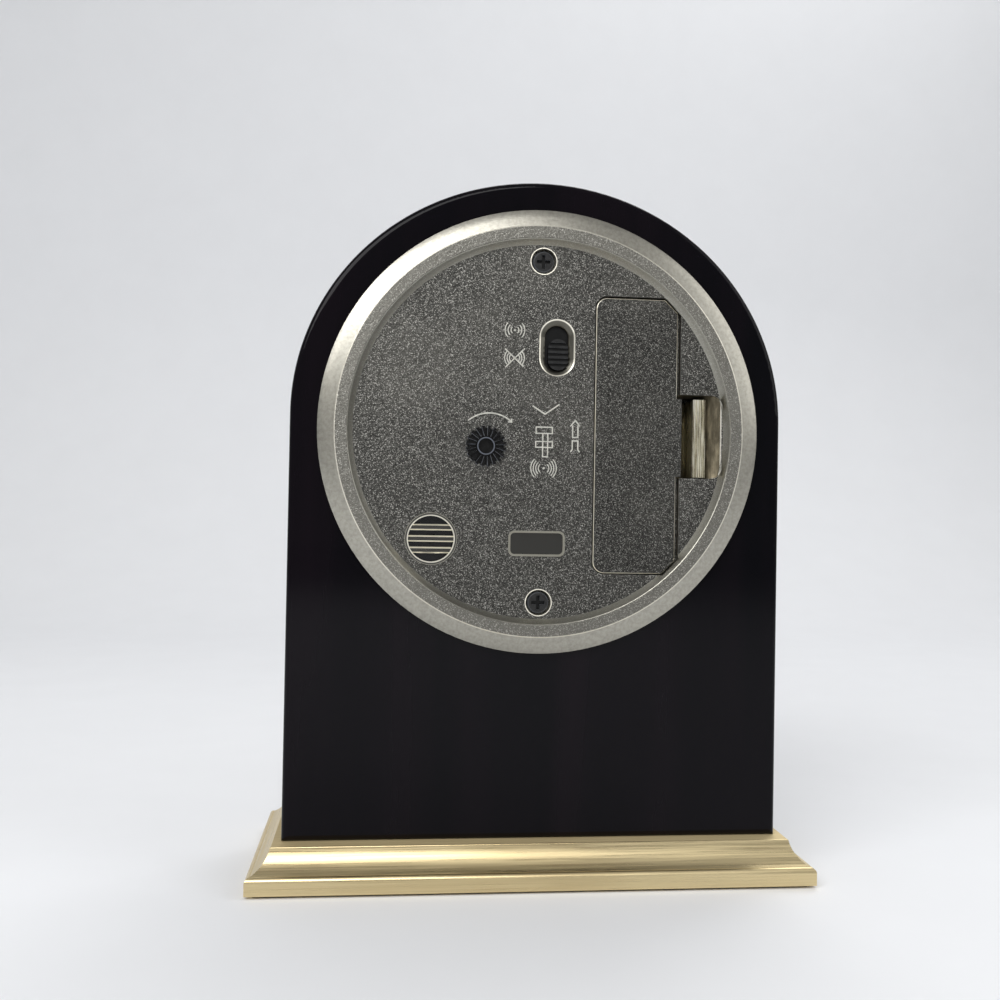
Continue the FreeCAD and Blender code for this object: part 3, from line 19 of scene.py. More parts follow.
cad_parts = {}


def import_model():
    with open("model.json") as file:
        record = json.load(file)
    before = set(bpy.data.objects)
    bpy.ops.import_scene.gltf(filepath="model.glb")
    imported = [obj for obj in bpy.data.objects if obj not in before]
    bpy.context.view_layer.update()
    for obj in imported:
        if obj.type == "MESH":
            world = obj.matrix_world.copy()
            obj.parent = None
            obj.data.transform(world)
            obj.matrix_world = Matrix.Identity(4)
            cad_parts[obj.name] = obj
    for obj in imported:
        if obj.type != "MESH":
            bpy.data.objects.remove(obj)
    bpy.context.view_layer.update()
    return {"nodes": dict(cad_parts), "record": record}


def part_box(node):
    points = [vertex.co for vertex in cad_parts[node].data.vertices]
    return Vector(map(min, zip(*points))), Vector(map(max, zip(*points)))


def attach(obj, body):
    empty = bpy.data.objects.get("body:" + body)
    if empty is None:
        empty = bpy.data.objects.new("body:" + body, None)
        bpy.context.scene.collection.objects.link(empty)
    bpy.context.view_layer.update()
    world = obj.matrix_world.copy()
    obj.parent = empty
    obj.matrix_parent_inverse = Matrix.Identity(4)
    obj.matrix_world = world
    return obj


LOG = logging.getLogger("clock")
MM = 0.001

Socket = bpy.types.NodeSocket
Piece = bpy.types.Object
Triple = tuple[float, float, float]
Tone = Union[float, Triple]
Value = Union[Socket, Tone]
Span = tuple[float, float]
Stops = tuple[Span, ...]
Point = tuple[float, float]
Outline = list[Point]

ARRIS_SEGMENTS = 2
ARRIS_ANGLE = 40
MERGE_DISTANCE = 1e-6
ARRISES = {
    "rear_cover": 0.12 * MM,
    "battery_door": 0.12 * MM,
    "setting_knob": 0.16 * MM,
    "rear_cover_screws": 0.08 * MM,
    "alarm_switch_slider": 0.12 * MM,
    "battery_door_latch": 0.1 * MM,
}
OUTLINE_STEP = 0.002
OUTLINE_STEPS = 7
SHARPEST_MITRE = 0.2


class Body(Enum):
    """CAD body that the scene's own pieces ride on."""

    CASE = "case"


class Slot(Enum):
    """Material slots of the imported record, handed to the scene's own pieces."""

    CHAMPAGNE = "champagne_plastic"
    PRINT = "hand_black"


class Axis(Enum):
    """Axes of the row frame, as the sockets name them."""

    X = "X"
    Y = "Y"
    Z = "Z"


class Glyph(Enum):
    """Letters of the Roman numerals."""

    ONE = "I"
    FIVE = "V"
    TEN = "X"


# Shader nodes


def shaded(tone: Tone, share: float) -> Tone:
    """Number or colour times a share."""
    return tuple(channel * share for channel in tone) if isinstance(tone, tuple) else tone * share


def rgba(tone: Tone) -> tuple[float, float, float, float]:
    """Colour with full alpha, where a plain number is a grey."""
    return (*tone, 1.0) if isinstance(tone, tuple) else (tone, tone, tone, 1.0)


@dataclass(frozen=True)
class Grain:
    """Fractal noise of a surface.

    Args:
        scale: Cells per metre.
        detail: How many finer layers lie on it.
        roughness: Strength of the finer layers.
        stretch: Shares of the scale along X, Y and Z; a small share draws the noise out.
    """

    scale: float
    detail: float = 3.0
    roughness: float = 0.55
    stretch: Triple = (1.0, 1.0, 1.0)


class Shader:
    """A material's node tree around one Principled shader."""

    def __init__(self, name: str) -> None:
        """Makes the material and finds its shader and the object's own place.

        Args:
            name: Name of the new material.
        """
        self.material = bpy.data.materials.new(name)
        self.material.use_nodes = True
        self.tree = self.material.node_tree
        self.surface = self.tree.nodes["Principled BSDF"]
        self.place = self.add("ShaderNodeTexCoord").outputs["Object"]

    def add(self, kind: str, **settings: object) -> bpy.types.Node:
        """Adds a node and sets its properties.

        Args:
            kind: Blender's type of the node.
            **settings: Values of its properties, by name.

        Returns:
            The new node.
        """
        node = self.tree.nodes.new(kind)
        for name, value in settings.items():
            setattr(node, name, value)
        return node

    def link(self, source: Value, socket: Socket) -> None:
        """Joins an output to a socket, or sets the socket to a plain value.

        Args:
            source: The output or the plain value.
            socket: The socket that takes it.
        """
        if isinstance(source, Socket):
            self.tree.links.new(source, socket)
        else:
            socket.default_value = source

    def set(self, **values: Value) -> None:
        """Sets or links sockets of the Principled shader, with underscores for spaces."""
        for name, value in values.items():
            self.link(value, self.surface.inputs[name.replace("_", " ")])

    def scaled(self, scale: Triple) -> Socket:
        """Object place multiplied by a scale for each axis.

        Args:
            scale: Cells per metre along X, Y and Z.

        Returns:
            The scaled place.
        """
        node = self.add("ShaderNodeMapping")
        self.link(self.place, node.inputs["Vector"])
        node.inputs["Scale"].default_value = scale
        return node.outputs["Vector"]

    def noise(self, grain: Grain) -> Socket:
        """Fractal noise over the object.

        Args:
            grain: Size and kind of the noise.

        Returns:
            The noise value, from 0 to 1.
        """
        node = self.add("ShaderNodeTexNoise", noise_dimensions="4D")
        self.link(self.scaled(shaded(grain.stretch, grain.scale)), node.inputs["Vector"])
        node.inputs["Scale"].default_value = 1.0
        node.inputs["Detail"].default_value = grain.detail
        node.inputs["Roughness"].default_value = grain.roughness
        return node.outputs[0]

    def cells(self, scale: float) -> Socket:
        """A random value for each of many small cells.

        Args:
            scale: Cells per metre.

        Returns:
            The value, from 0 to 1.
        """
        node = self.add("ShaderNodeTexVoronoi")
        self.link(self.scaled((scale, scale, scale)), node.inputs["Vector"])
        node.inputs["Scale"].default_value = 1.0
        parts = self.add("ShaderNodeSeparateColor")
        self.link(node.outputs["Color"], parts.inputs[0])
        return parts.outputs[0]

    def ramp(self, value: Socket, *stops: tuple[float, Tone]) -> Socket:
        """Colour ramp.

        Args:
            value: What the ramp reads.
            *stops: Positions and their tones.

        Returns:
            The colour.
        """
        node = self.add("ShaderNodeValToRGB")
        elements = node.color_ramp.elements
        while len(elements) < len(stops):
            elements.new(0.5)
        for element, (position, tone) in zip(elements, stops):
            element.position = position
            element.color = rgba(tone)
        self.link(value, node.inputs["Fac"])
        return node.outputs["Color"]

    def fade(self, value: Socket, span: Span, first: Tone, second: Tone) -> Socket:
        """Ramp from one tone to another as a value crosses a span."""
        return self.ramp(value, (span[0], first), (span[1], second))

    def shares(self, value: Socket, tone: Tone, stops: Stops) -> Socket:
        """Ramp through shares of one tone, each at its position."""
        return self.ramp(value, *[(position, shaded(tone, share)) for position, share in stops])

    def math(self, operation: str, first: Value, second: Value = 0.0) -> Socket:
        """Result of a Math node.

        Args:
            operation: Blender's name of the operation.
            first: Its first value.
            second: Its second value, where it has one.

        Returns:
            The result.
        """
        node = self.add("ShaderNodeMath", operation=operation)
        self.link(first, node.inputs[0])
        self.link(second, node.inputs[1])
        return node.outputs[0]

    def plus(self, first: Value, second: Value) -> Socket:
        """Sum of two values."""
        return self.math("ADD", first, second)

    def minus(self, first: Value, second: Value) -> Socket:
        """First value less the second."""
        return self.math("SUBTRACT", first, second)

    def times(self, first: Value, second: Value) -> Socket:
        """Product of two values."""
        return self.math("MULTIPLY", first, second)

    def rest(self, share: Value) -> Socket:
        """What a share leaves of 1."""
        return self.minus(1.0, share)

    def above(self, value: Value, limit: float) -> Socket:
        """Share that is 1 where a value is over a limit."""
        return self.math("GREATER_THAN", value, limit)

    def below(self, value: Value, limit: float) -> Socket:
        """Share that is 1 where a value is under a limit."""
        return self.math("LESS_THAN", value, limit)

    def greatest(self, first: Value, *others: Value) -> Socket:
        """Greatest of several values.

        Args:
            first: One value.
            *others: The other values.

        Returns:
            The greatest.
        """
        most = first
        for value in others:
            most = self.math("MAXIMUM", most, value)
        return most

    def mix(self, share: Value, first: Value, second: Value) -> Socket:
        """Colour mixed from one to another.

        Args:
            share: Share of the second, from 0 to 1.
            first: Colour at 0.
            second: Colour at 1.

        Returns:
            The mixed colour.
        """
        node = self.add("ShaderNodeMix", data_type="RGBA")
        self.link(share, node.inputs["Factor"])
        inputs = [socket for socket in node.inputs if socket.type == "RGBA"]
        for tone, socket in zip((first, second), inputs):
            self.link(tone if isinstance(tone, Socket) else rgba(tone), socket)
        return [socket for socket in node.outputs if socket.type == "RGBA"][0]

    def bump(self, height: Socket, distance: float) -> Socket:
        """Normal bent by a height field.

        Args:
            height: The field, from 0 to 1.
            distance: Its full height in metres.

        Returns:
            The bent normal.
        """
        node = self.add("ShaderNodeBump")
        node.inputs["Distance"].default_value = distance
        self.link(height, node.inputs["Height"])
        return node.outputs["Normal"]

    def part(self, vector: Socket, axis: Axis) -> Socket:
        """One component of a vector.

        Args:
            vector: The vector.
            axis: Which component.

        Returns:
            The component.
        """
        node = self.add("ShaderNodeSeparateXYZ")
        self.link(vector, node.inputs[0])
        return node.outputs[axis.value]

    def axis(self, axis: Axis) -> Socket:
        """One coordinate of the object place."""
        return self.part(self.place, axis)

    def facing(self, axis: Axis) -> Socket:
        """Size of one component of the surface's own normal."""
        normal = self.add("ShaderNodeTexCoord").outputs["Normal"]
        return self.math("ABSOLUTE", self.part(normal, axis))

    def sloped(self, limits: Span) -> Socket:
        """Share that falls from 1 on slopes to 0 on faces square to Y, by the normal's Y."""
        return self.rest(self.step(self.facing(Axis.Y), *limits))

    def radius(self, centre_z: float, centre_x: float = 0.0) -> Socket:
        """Distance from an axis that runs along Y.

        Args:
            centre_z: Height of the axis.
            centre_x: Place of the axis along X.

        Returns:
            The distance.
        """
        across = self.minus(self.axis(Axis.X), centre_x)
        up = self.minus(self.axis(Axis.Z), centre_z)
        return self.math("SQRT", self.plus(self.times(across, across), self.times(up, up)))

    def within(self, value: Socket, middle: float, half: float, blur: float) -> Socket:
        """Share that is 1 within a half-width of a middle, with soft ends."""
        off = self.math("ABSOLUTE", self.minus(value, middle))
        return self.rest(self.step(off, half - blur, half + blur))

    def step(self, value: Socket, low: float, high: float) -> Socket:
        """Smooth rise of a share.

        Args:
            value: What the share follows.
            low: Value at which it is still 0.
            high: Value at which it has come to 1.

        Returns:
            The share.
        """
        node = self.add("ShaderNodeMapRange", interpolation_type="SMOOTHSTEP")
        self.link(value, node.inputs["Value"])
        node.inputs["From Min"].default_value = low
        node.inputs["From Max"].default_value = high
        return node.outputs["Result"]


# Finishes


@dataclass(frozen=True)
class Finish:
    """A finish, which each kind below dresses in its own way."""

    def dress(self, shader: Shader) -> None:
        """Adds the nodes of the finish to a shader."""
        raise NotImplementedError

    def make(self, name: str) -> bpy.types.Material:
        """Builds the finish as a material.

        Args:
            name: Name of the material.

        Returns:
            The new material.
        """
        shader = Shader(name)
        self.dress(shader)
        return shader.material


@dataclass(frozen=True)
class Lacquer(Finish):
    """Near-black high-gloss lacquer over dark wood, with faint smears.

    Args:
        dark, streak: Colours of the ground and of the wood's figure.
        figure, figure_span: Noise of the figure, and where it turns from one to the other.
        roughness, smears, smear_stops: Roughness, and the smears that raise it.
        specular, coat, coat_roughness: Strength of the gloss and of the coat over it.
        ripple, ripple_height: Long ripples of the surface.
    """

    dark: Triple = (0.0012, 0.0012, 0.0022)
    streak: Triple = (0.005, 0.003, 0.005)
    figure: Grain = Grain(60, 5, stretch=(1, 1, 0.06))
    figure_span: Span = (0.38, 0.72)
    roughness: float = 0.05
    smears: Grain = Grain(28, 5, 0.65)
    smear_stops: Stops = ((0.42, 1.0), (0.78, 2.6))
    specular: float = 0.08
    coat: float = 0.07
    coat_roughness: float = 0.03
    ripple: Grain = Grain(18, 2)
    ripple_height: float = 6e-5

    def dress(self, shader: Shader) -> None:
        """Adds the wood's figure, the smears, the coat and the ripples.

        Args:
            shader: The shader to dress.
        """
        figure = shader.noise(self.figure)
        smears = shader.noise(self.smears)
        shader.set(Base_Color=shader.fade(figure, self.figure_span, self.dark, self.streak))
        shader.set(Roughness=shader.shares(smears, self.roughness, self.smear_stops))
        shader.set(Specular_IOR_Level=self.specular)
        shader.set(Coat_Weight=self.coat, Coat_Roughness=self.coat_roughness)
        shader.set(Normal=shader.bump(shader.noise(self.ripple), self.ripple_height))


@dataclass(frozen=True)
class MetallisedPlastic(Finish):
    """Metallised moulding: sand-textured flats with a few painted glints, smoother slopes and edges
    with painted highlights, and painted shade on walls well below the floor.

    Depths are measured from the cover's floor and are negative below it. Places on the cover are
    X and Z from its middle.

    Args:
        centre_z, floor_y: Height of the cover's middle and depth of its floor.
        flat: Colour of the sand-textured flats.
        rim, bank: Colour of the broad outer slope, and the painted highlight on the slopes up to
            the crest.
        edge: Painted highlight on arrises near the floor, on the grille's slopes and border, and in
            the lines round the screws.
        middle: Colour of raised borders, and a share of it of bevels a little below the floor.
        deep, deep_stops: Painted shade on walls well below the floor, and its mottling.
        rim_radius, crest_radius, floor_radius: Where rim and crest begin and the floor ends.
        pad_middle, pad_half: Place and half-size of the bare label pad.
        grille_middle, grille_radius: Place and size of the grille's opening.
        scoop_middle, scoop_half: Place and half-size of the finger scoop's shallow end.
        screw_offset, screw_ring: Distance of the screws from the middle, and size of their holes.
        soft: How far the edge of a region fades on either side.
        line_half, line_soft: Half-width and fading of the painted highlight lines round the screws.
        brink_half, brink_soft, brink_share: The same for the line where the rim begins.
        slope_limits: Normal's Y from which a face counts as a flat.
        sand_cells, sand_stops, sand_share: Cells per metre, tones and strength of the grains, whose
            brightest few are painted glints.
        clumps, clump_stops: Noise and tones of what lies under the grains.
        clouds, cloud_span, cloud_share: Wide paler clouds.
        patches, patch_stops: Noise and tones of the rim.
        mottle: Noise of the walls.
        wall_depth, line_depth, scoop_depth, raised_depth: Depths between which they begin.
        crest_share, bank_share, bevel_share: Strength of these tones.
        pad_tone, bar_tone, gap_tone: Shares of the flat's colour on pad, bars (painted shade in the
            grille) and beside borders.
        border_reach, border_limit: How far the grille's border runs, and where it is cut off.
        border_at: Positions on that reach of two edge tones, two gap tones and the outer tone.
        bar_edge: How far inside the grille's edge the bars' region ends.
        relief, relief_height, relief_rest: Bumps of the sand, and what smooth faces lose of them.
        sand_roughness, smooth_roughness, wall_roughness, metallic: Values of the shader.
    """

    centre_z: float
    floor_y: float
    flat: Triple = (0.072, 0.0705, 0.065)
    rim: Triple = (0.4, 0.385, 0.335)
    edge: Triple = (0.94, 0.9, 0.78)
    middle: Triple = (0.36, 0.345, 0.29)
    deep: Triple = (0.14, 0.12, 0.082)
    bank: Triple = (0.5, 0.485, 0.42)
    deep_stops: Stops = ((0.36, 0.55), (0.52, 1.0), (0.68, 2.0))
    rim_radius: float = 0.0443
    crest_radius: float = 0.04165
    floor_radius: float = 0.0405
    pad_middle: Point = (0.0006, -0.02427)
    pad_half: Point = (0.0058, 0.0024)
    grille_middle: Point = (0.02343, -0.02354)
    grille_radius: float = 0.0049
    scoop_middle: Point = (-0.0385, 0.0)
    scoop_half: Point = (0.003, 0.0092)
    screw_offset: float = 0.037
    screw_ring: float = 0.00285
    soft: float = 0.0001
    line_half: float = 0.0001
    line_soft: float = 0.00005
    brink_half: float = 0.00011
    brink_soft: float = 0.00006
    brink_share: float = 0.7
    slope_limits: Span = (0.9, 0.97)
    sand_cells: float = 6600
    sand_stops: Stops = ((0.0, 0.12), (0.5, 0.65), (0.83, 2.0), (0.95, 8.0))
    sand_share: float = 0.62
    clumps: Grain = Grain(2500, 3, 0.6)
    clump_stops: Stops = ((0.38, 0.45), (0.62, 1.55))
    clouds: Grain = Grain(42, 2)
    cloud_span: Span = (0.46, 0.74)
    cloud_share: float = 0.08
    patches: Grain = Grain(1300, 3, 0.6)
    patch_stops: Stops = ((0.34, 0.78), (0.62, 1.0))
    mottle: Grain = Grain(650, 5, 0.65, (1.0, 1.0, 0.3))
    wall_depth: Span = (-0.001, -0.0008)
    line_depth: Span = (-0.00026, -0.00012)
    scoop_depth: float = -0.0001
    raised_depth: Span = (0.00008, 0.00014)
    crest_share: float = 0.3
    bank_share: float = 0.62
    bevel_share: float = 0.36
    pad_tone: float = 0.9
    bar_tone: float = 0.8
    gap_tone: float = 1.2
    border_reach: float = 0.0008
    border_limit: float = 0.0012
    border_at: tuple[float, ...] = (0.0, 0.12, 0.3, 0.7, 0.9)
    bar_edge: float = 0.00004
    relief: Grain = Grain(2000, 3, 0.65)
    relief_height: float = 0.00016
    relief_rest: float = 0.9
    sand_roughness: float = 0.46
    smooth_roughness: float = 0.32
    wall_roughness: float = 0.62
    metallic: float = 0.97

    def patch(self, shader: Shader, middle: Point, half: Point) -> Socket:
        """Share that is 1 inside a rectangle on the cover.

        Args:
            shader: The shader to dress.
            middle: Place of its middle.
            half: Its half-size.

        Returns:
            The share.
        """
        across = shader.within(shader.axis(Axis.X), middle[0], half[0], self.soft)
        up = shader.within(shader.axis(Axis.Z), self.centre_z + middle[1], half[1], self.soft)
        return shader.times(across, up)

    def sand(self, shader: Shader) -> Socket:
        """Sand texture: fine grains, most of them dim, and a few bright ones that are painted
        glints.

        Args:
            shader: The shader to dress.

        Returns:
            Its colour.
        """
        # The sand's own uneven grains, with the brightest few as painted glints.
        grains = shader.shares(shader.cells(self.sand_cells), self.flat, self.sand_stops)
        base = shader.shares(shader.noise(self.clumps), self.flat, self.clump_stops)
        clouds = shader.step(shader.noise(self.clouds), *self.cloud_span)
        sand = shader.mix(self.sand_share, base, grains)
        return shader.mix(shader.times(clouds, self.cloud_share), sand, self.rim)

    def sunk_light_and_shade(self, shader: Shader, depth: Socket) -> Socket:
        """Narrow slopes by depth: painted highlight on the arris, plain bevel, then painted shade
        on mottled walls and in the scoop.

        Args:
            shader: The shader to dress.
            depth: Depth from the floor.

        Returns:
            Their colour.
        """
        # Painted shade: walls well below the floor, and the scoop's shallow end, are darkened and
        # mottled.
        walls = shader.shares(shader.noise(self.mottle), self.deep, self.deep_stops)
        plain = shaded(self.middle, self.bevel_share)
        bevel = shader.mix(shader.step(depth, *self.wall_depth), walls, plain)
        # Painted highlight on the arris just below the floor.
        lines = shader.mix(shader.step(depth, *self.line_depth), bevel, self.edge)
        scoop = self.patch(shader, self.scoop_middle, self.scoop_half)
        scoop = shader.times(scoop, shader.below(depth, self.scoop_depth))
        return shader.mix(scoop, lines, walls)

    def highlight_lines(self, shader: Shader, radius: Socket) -> Socket:
        """Painted highlight lines round the two screw holes, and the fainter one where the rim
        begins.

        Args:
            shader: The shader to dress.
            radius: Distance from the cover's middle.

        Returns:
            Share of the lines.
        """
        brink = shader.within(radius, self.rim_radius, self.brink_half, self.brink_soft)
        lines = shader.times(brink, self.brink_share)
        for offset in (self.screw_offset, -self.screw_offset):
            hole = shader.radius(self.centre_z + offset)
            ring = shader.within(hole, self.screw_ring, self.line_half, self.line_soft)
            lines = shader.greatest(lines, ring)
        return lines

    def borders(self, shader: Shader, grille: Socket) -> Socket:
        """Raised borders: plain round the pad, and with a painted highlight on the inner edge round
        the grille.

        Args:
            shader: The shader to dress.
            grille: Distance from the grille's middle.

        Returns:
            Their colour.
        """
        around = shader.step(grille, self.grille_radius, self.grille_radius + self.border_reach)
        gap = shaded(self.flat, self.gap_tone)
        # Painted highlight on the grille border's inner edge.
        tones = (self.edge, self.edge, gap, gap, self.middle)
        border = shader.ramp(around, *zip(self.border_at, tones))
        near = shader.below(grille, self.grille_radius + self.border_limit)
        return shader.mix(near, self.middle, border)

    def dress(self, shader: Shader) -> None:
        """Lays the regions of the cover over each other and smooths all but the sand.

        Args:
            shader: The shader to dress.
        """
        radius = shader.radius(self.centre_z)
        depth = shader.minus(shader.axis(Axis.Y), self.floor_y)
        rim, crest = (
            shader.step(radius, start - self.soft, start + self.soft)
            for start in (self.rim_radius, self.crest_radius)
        )
        outside = shader.step(radius, self.floor_radius - self.soft, self.floor_radius)
        inside = shader.rest(outside)
        sloped = shader.sloped(self.slope_limits)
        slope = shader.times(sloped, inside)
        bank = shader.times(sloped, shader.minus(outside, rim))
        raised = shader.times(shader.step(depth, *self.raised_depth), inside)
        pad = self.patch(shader, self.pad_middle, self.pad_half)
        pad = shader.times(pad, shader.rest(raised))
        grille = shader.radius(self.centre_z + self.grille_middle[1], self.grille_middle[0])
        bars = shader.below(grille, self.grille_radius - self.bar_edge)
        worn_rim = shader.shares(shader.noise(self.patches), self.rim, self.patch_stops)

        colour = self.sand(shader)
        for share, tone in (
            (shader.times(crest, self.crest_share), self.rim),
            # Painted highlight on the slopes up to the crest, chosen by the normal.
            (shader.times(bank, self.bank_share), self.bank),
            (pad, shaded(self.flat, self.pad_tone)),
            (rim, worn_rim),
            # Painted shade on the flats inside the grille's opening.
            (bars, shaded(self.flat, self.bar_tone)),
            # Slopes inside the grille take the painted highlight; other slopes the painted
            # highlight, bevel and painted shade by depth.
            (slope, shader.mix(bars, self.sunk_light_and_shade(shader, depth), self.edge)),
            # Painted highlight lines round the screw holes and where the rim begins.
            (self.highlight_lines(shader, radius), self.edge),
            (raised, self.borders(shader, grille)),
        ):
            colour = shader.mix(share, colour, tone)
        shader.set(Base_Color=colour, Metallic=self.metallic)

        smooth = shader.greatest(rim, pad, slope, raised, bank)
        grain = shader.rest(shader.times(smooth, self.relief_rest))
        relief = shader.times(shader.noise(self.relief), grain)
        shader.set(Normal=shader.bump(relief, self.relief_height))
        low = shader.rest(shader.step(depth, *self.wall_depth))
        gloss = shader.mix(smooth, self.sand_roughness, self.smooth_roughness)
        shader.set(Roughness=shader.mix(low, gloss, self.wall_roughness))


@dataclass(frozen=True)
class Brass(Finish):
    """Brass with fine lines along its length and a slightly uneven tone.

    Args:
        colour, deep, tone_span: Colours of the brass, and where one turns into the other.
        roughness, polish_stops: Roughness, and how the lines vary it.
        scale, along, line_height: Fineness, stretch and height of the lines.
        end_from: Normal's X from which a face is an end, with its lines turned.
        clouds, cloud_share, line_share: Wide uneven tone, and its strength beside the lines.
        top_limits, top_roughness, top_metallic: Level tops, which are duller.
    """

    colour: Triple = (0.76, 0.63, 0.37)
    deep: Triple = (0.6, 0.475, 0.26)
    roughness: float = 0.3
    tone_span: Span = (0.36, 0.58)
    polish_stops: Stops = ((0.3, 0.7), (0.7, 1.5))
    scale: float = 2600
    along: Triple = (0.015, 1.0, 1.0)
    line_height: float = 0.000012
    end_from: float = 0.4
    clouds: Grain = Grain(40, 4, stretch=(0.35, 1, 1))
    cloud_share: float = 0.6
    line_share: float = 0.4
    top_limits: Span = (0.97, 0.995)
    top_roughness: float = 0.7
    top_metallic: float = 0.75

    def dress(self, shader: Shader) -> None:
        """Adds the lines, the clouds and the duller tops.

        Args:
            shader: The shader to dress.
        """
        brushed = shader.noise(Grain(self.scale, stretch=self.along))
        turned = (self.along[1], self.along[0], self.along[2])
        ends = shader.noise(Grain(self.scale, stretch=turned))
        lines = shader.mix(shader.above(shader.facing(Axis.X), self.end_from), brushed, ends)
        clouds = shader.times(shader.noise(self.clouds), self.cloud_share)
        tone = shader.plus(clouds, shader.times(lines, self.line_share))
        shader.set(Base_Color=shader.fade(tone, self.tone_span, self.deep, self.colour))
        shader.set(Normal=shader.bump(lines, self.line_height))
        polished = shader.shares(lines, self.roughness, self.polish_stops)
        top = shader.step(shader.facing(Axis.Z), *self.top_limits)
        shader.set(Roughness=shader.mix(top, polished, self.top_roughness))
        shader.set(Metallic=shader.mix(top, 1.0, self.top_metallic))


@dataclass(frozen=True)
class Plastic(Finish):
    """Moulded plastic with a faint grain.

    Args:
        colour, roughness: Colour and roughness of the plastic.
        glow, glow_scale: How much light passes under its skin, and how far.
        clouds, cloud_stops: Uneven tone.
        grain, grain_height, gloss_stops: Fine grain, and how it varies the roughness.
    """

    colour: Triple
    roughness: float = 0.4
    glow: float = 0.0
    glow_scale: float = 0.001
    clouds: Grain = Grain(90)
    cloud_stops: Stops = ((0.35, 0.86), (0.65, 1.0))
    grain: Grain = Grain(1500, 2)
    grain_height: float = 0.00001
    gloss_stops: Stops = ((0.3, 0.85), (0.7, 1.15))

    def dress(self, shader: Shader) -> None:
        """Adds the clouds and the grain.

        Args:
            shader: The shader to dress.
        """
        clouds = shader.noise(self.clouds)
        grain = shader.noise(self.grain)
        shader.set(Base_Color=shader.shares(clouds, self.colour, self.cloud_stops))
        shader.set(Normal=shader.bump(grain, self.grain_height))
        shader.set(Roughness=shader.shares(grain, self.roughness, self.gloss_stops))
        shader.set(Subsurface_Weight=self.glow, Subsurface_Scale=self.glow_scale)


@dataclass(frozen=True)
class KnobPlastic(Finish):
    """Glossy black plastic with painted highlights on the ribs' flanks and a painted highlight ring
    around the knob's dimple.

    Args:
        middle: X and Z of the knob's axis.
        black, rib, ring: Greys of the plastic, and colours of the painted highlights on the ribs'
            flanks and on the ring.
        ring_radius, ring_half, ring_soft: Middle, half-width and fading of the ring.
        rib_gap: How far outside the ring the ribs begin.
        rib_limits: Normal's Y between which a face turns from flank to flat.
        wear, wear_span, gloss: Wear, where it turns the tone, and the roughness at either end.
        specular: Strength of the gloss.
    """

    middle: Point
    black: Span = (0.003, 0.006)
    rib: Triple = (0.4, 0.42, 0.46)
    ring: Triple = (0.1, 0.11, 0.13)
    ring_radius: float = 0.00178
    ring_half: float = 0.00012
    ring_soft: float = 0.00005
    rib_gap: float = 0.0004
    rib_limits: Span = (0.75, 0.97)
    wear: Grain = Grain(700)
    wear_span: Span = (0.3, 0.7)
    gloss: Span = (0.16, 0.24)
    specular: float = 0.3

    def dress(self, shader: Shader) -> None:
        """Adds the painted highlights on the ribs' flanks and the ring, and the wear.

        Args:
            shader: The shader to dress.
        """
        radius = shader.radius(self.middle[1], self.middle[0])
        ring = shader.within(radius, self.ring_radius, self.ring_half, self.ring_soft)
        wear = shader.noise(self.wear)
        black = shader.fade(wear, self.wear_span, *self.black)
        outer = shader.above(radius, self.ring_radius + self.rib_gap)
        # Painted highlight on the ribs' flanks.
        flanks = shader.times(shader.sloped(self.rib_limits), outer)
        black = shader.mix(flanks, black, self.rib)
        # Painted highlight ring around the dimple.
        shader.set(Base_Color=shader.mix(ring, black, self.ring))
        shader.set(Roughness=shader.fade(wear, self.wear_span, *self.gloss))
        shader.set(Specular_IOR_Level=self.specular)


@dataclass(frozen=True)
class WornBlackPaintedLight(Finish):
    """Black moulding whose grooves are darkened by painted shade below its raised face, with a
    painted highlight on the face's edges.

    Args:
        face_y: Depth of the raised face.
        groove, fall: How far below the face the painted shade begins, and over what depth.
        face, face_stops: Grey of the raised face, and its wear.
        dark: Grey of the painted shade in the grooves.
        arris, arris_limits: Colour of the painted highlight on the face's edges, and the normal's Y
            that marks them.
        wear, wear_span, gloss: Wear, where it turns the tone, and the roughness at either end.
        specular: Strength of the gloss.
    """

    face_y: float
    groove: float = 0.00005
    face: float = 0.022
    fall: float = 0.00025
    face_stops: Stops = ((0.3, 0.55), (0.7, 1.0))
    dark: float = 0.002
    arris: Triple = (0.075, 0.08, 0.09)
    arris_limits: Span = (0.8, 0.97)
    wear: Grain = Grain(900)
    wear_span: Span = (0.3, 0.7)
    gloss: Span = (0.3, 0.42)
    specular: float = 0.25

    def dress(self, shader: Shader) -> None:
        """Adds the face, the painted highlight on its edges and the painted shade in the grooves.

        Args:
            shader: The shader to dress.
        """
        wear = shader.noise(self.wear)
        top = self.face_y - self.groove
        # Painted shade: everything more than the groove depth below the face turns dark.
        shown = shader.step(shader.axis(Axis.Y), top - self.fall, top)
        cap = shader.shares(wear, self.face, self.face_stops)
        # Painted highlight on the face's edges.
        cap = shader.mix(shader.sloped(self.arris_limits), cap, self.arris)
        shader.set(Base_Color=shader.mix(shown, self.dark, cap))
        shader.set(Roughness=shader.fade(wear, self.wear_span, *self.gloss))
        shader.set(Specular_IOR_Level=self.specular)


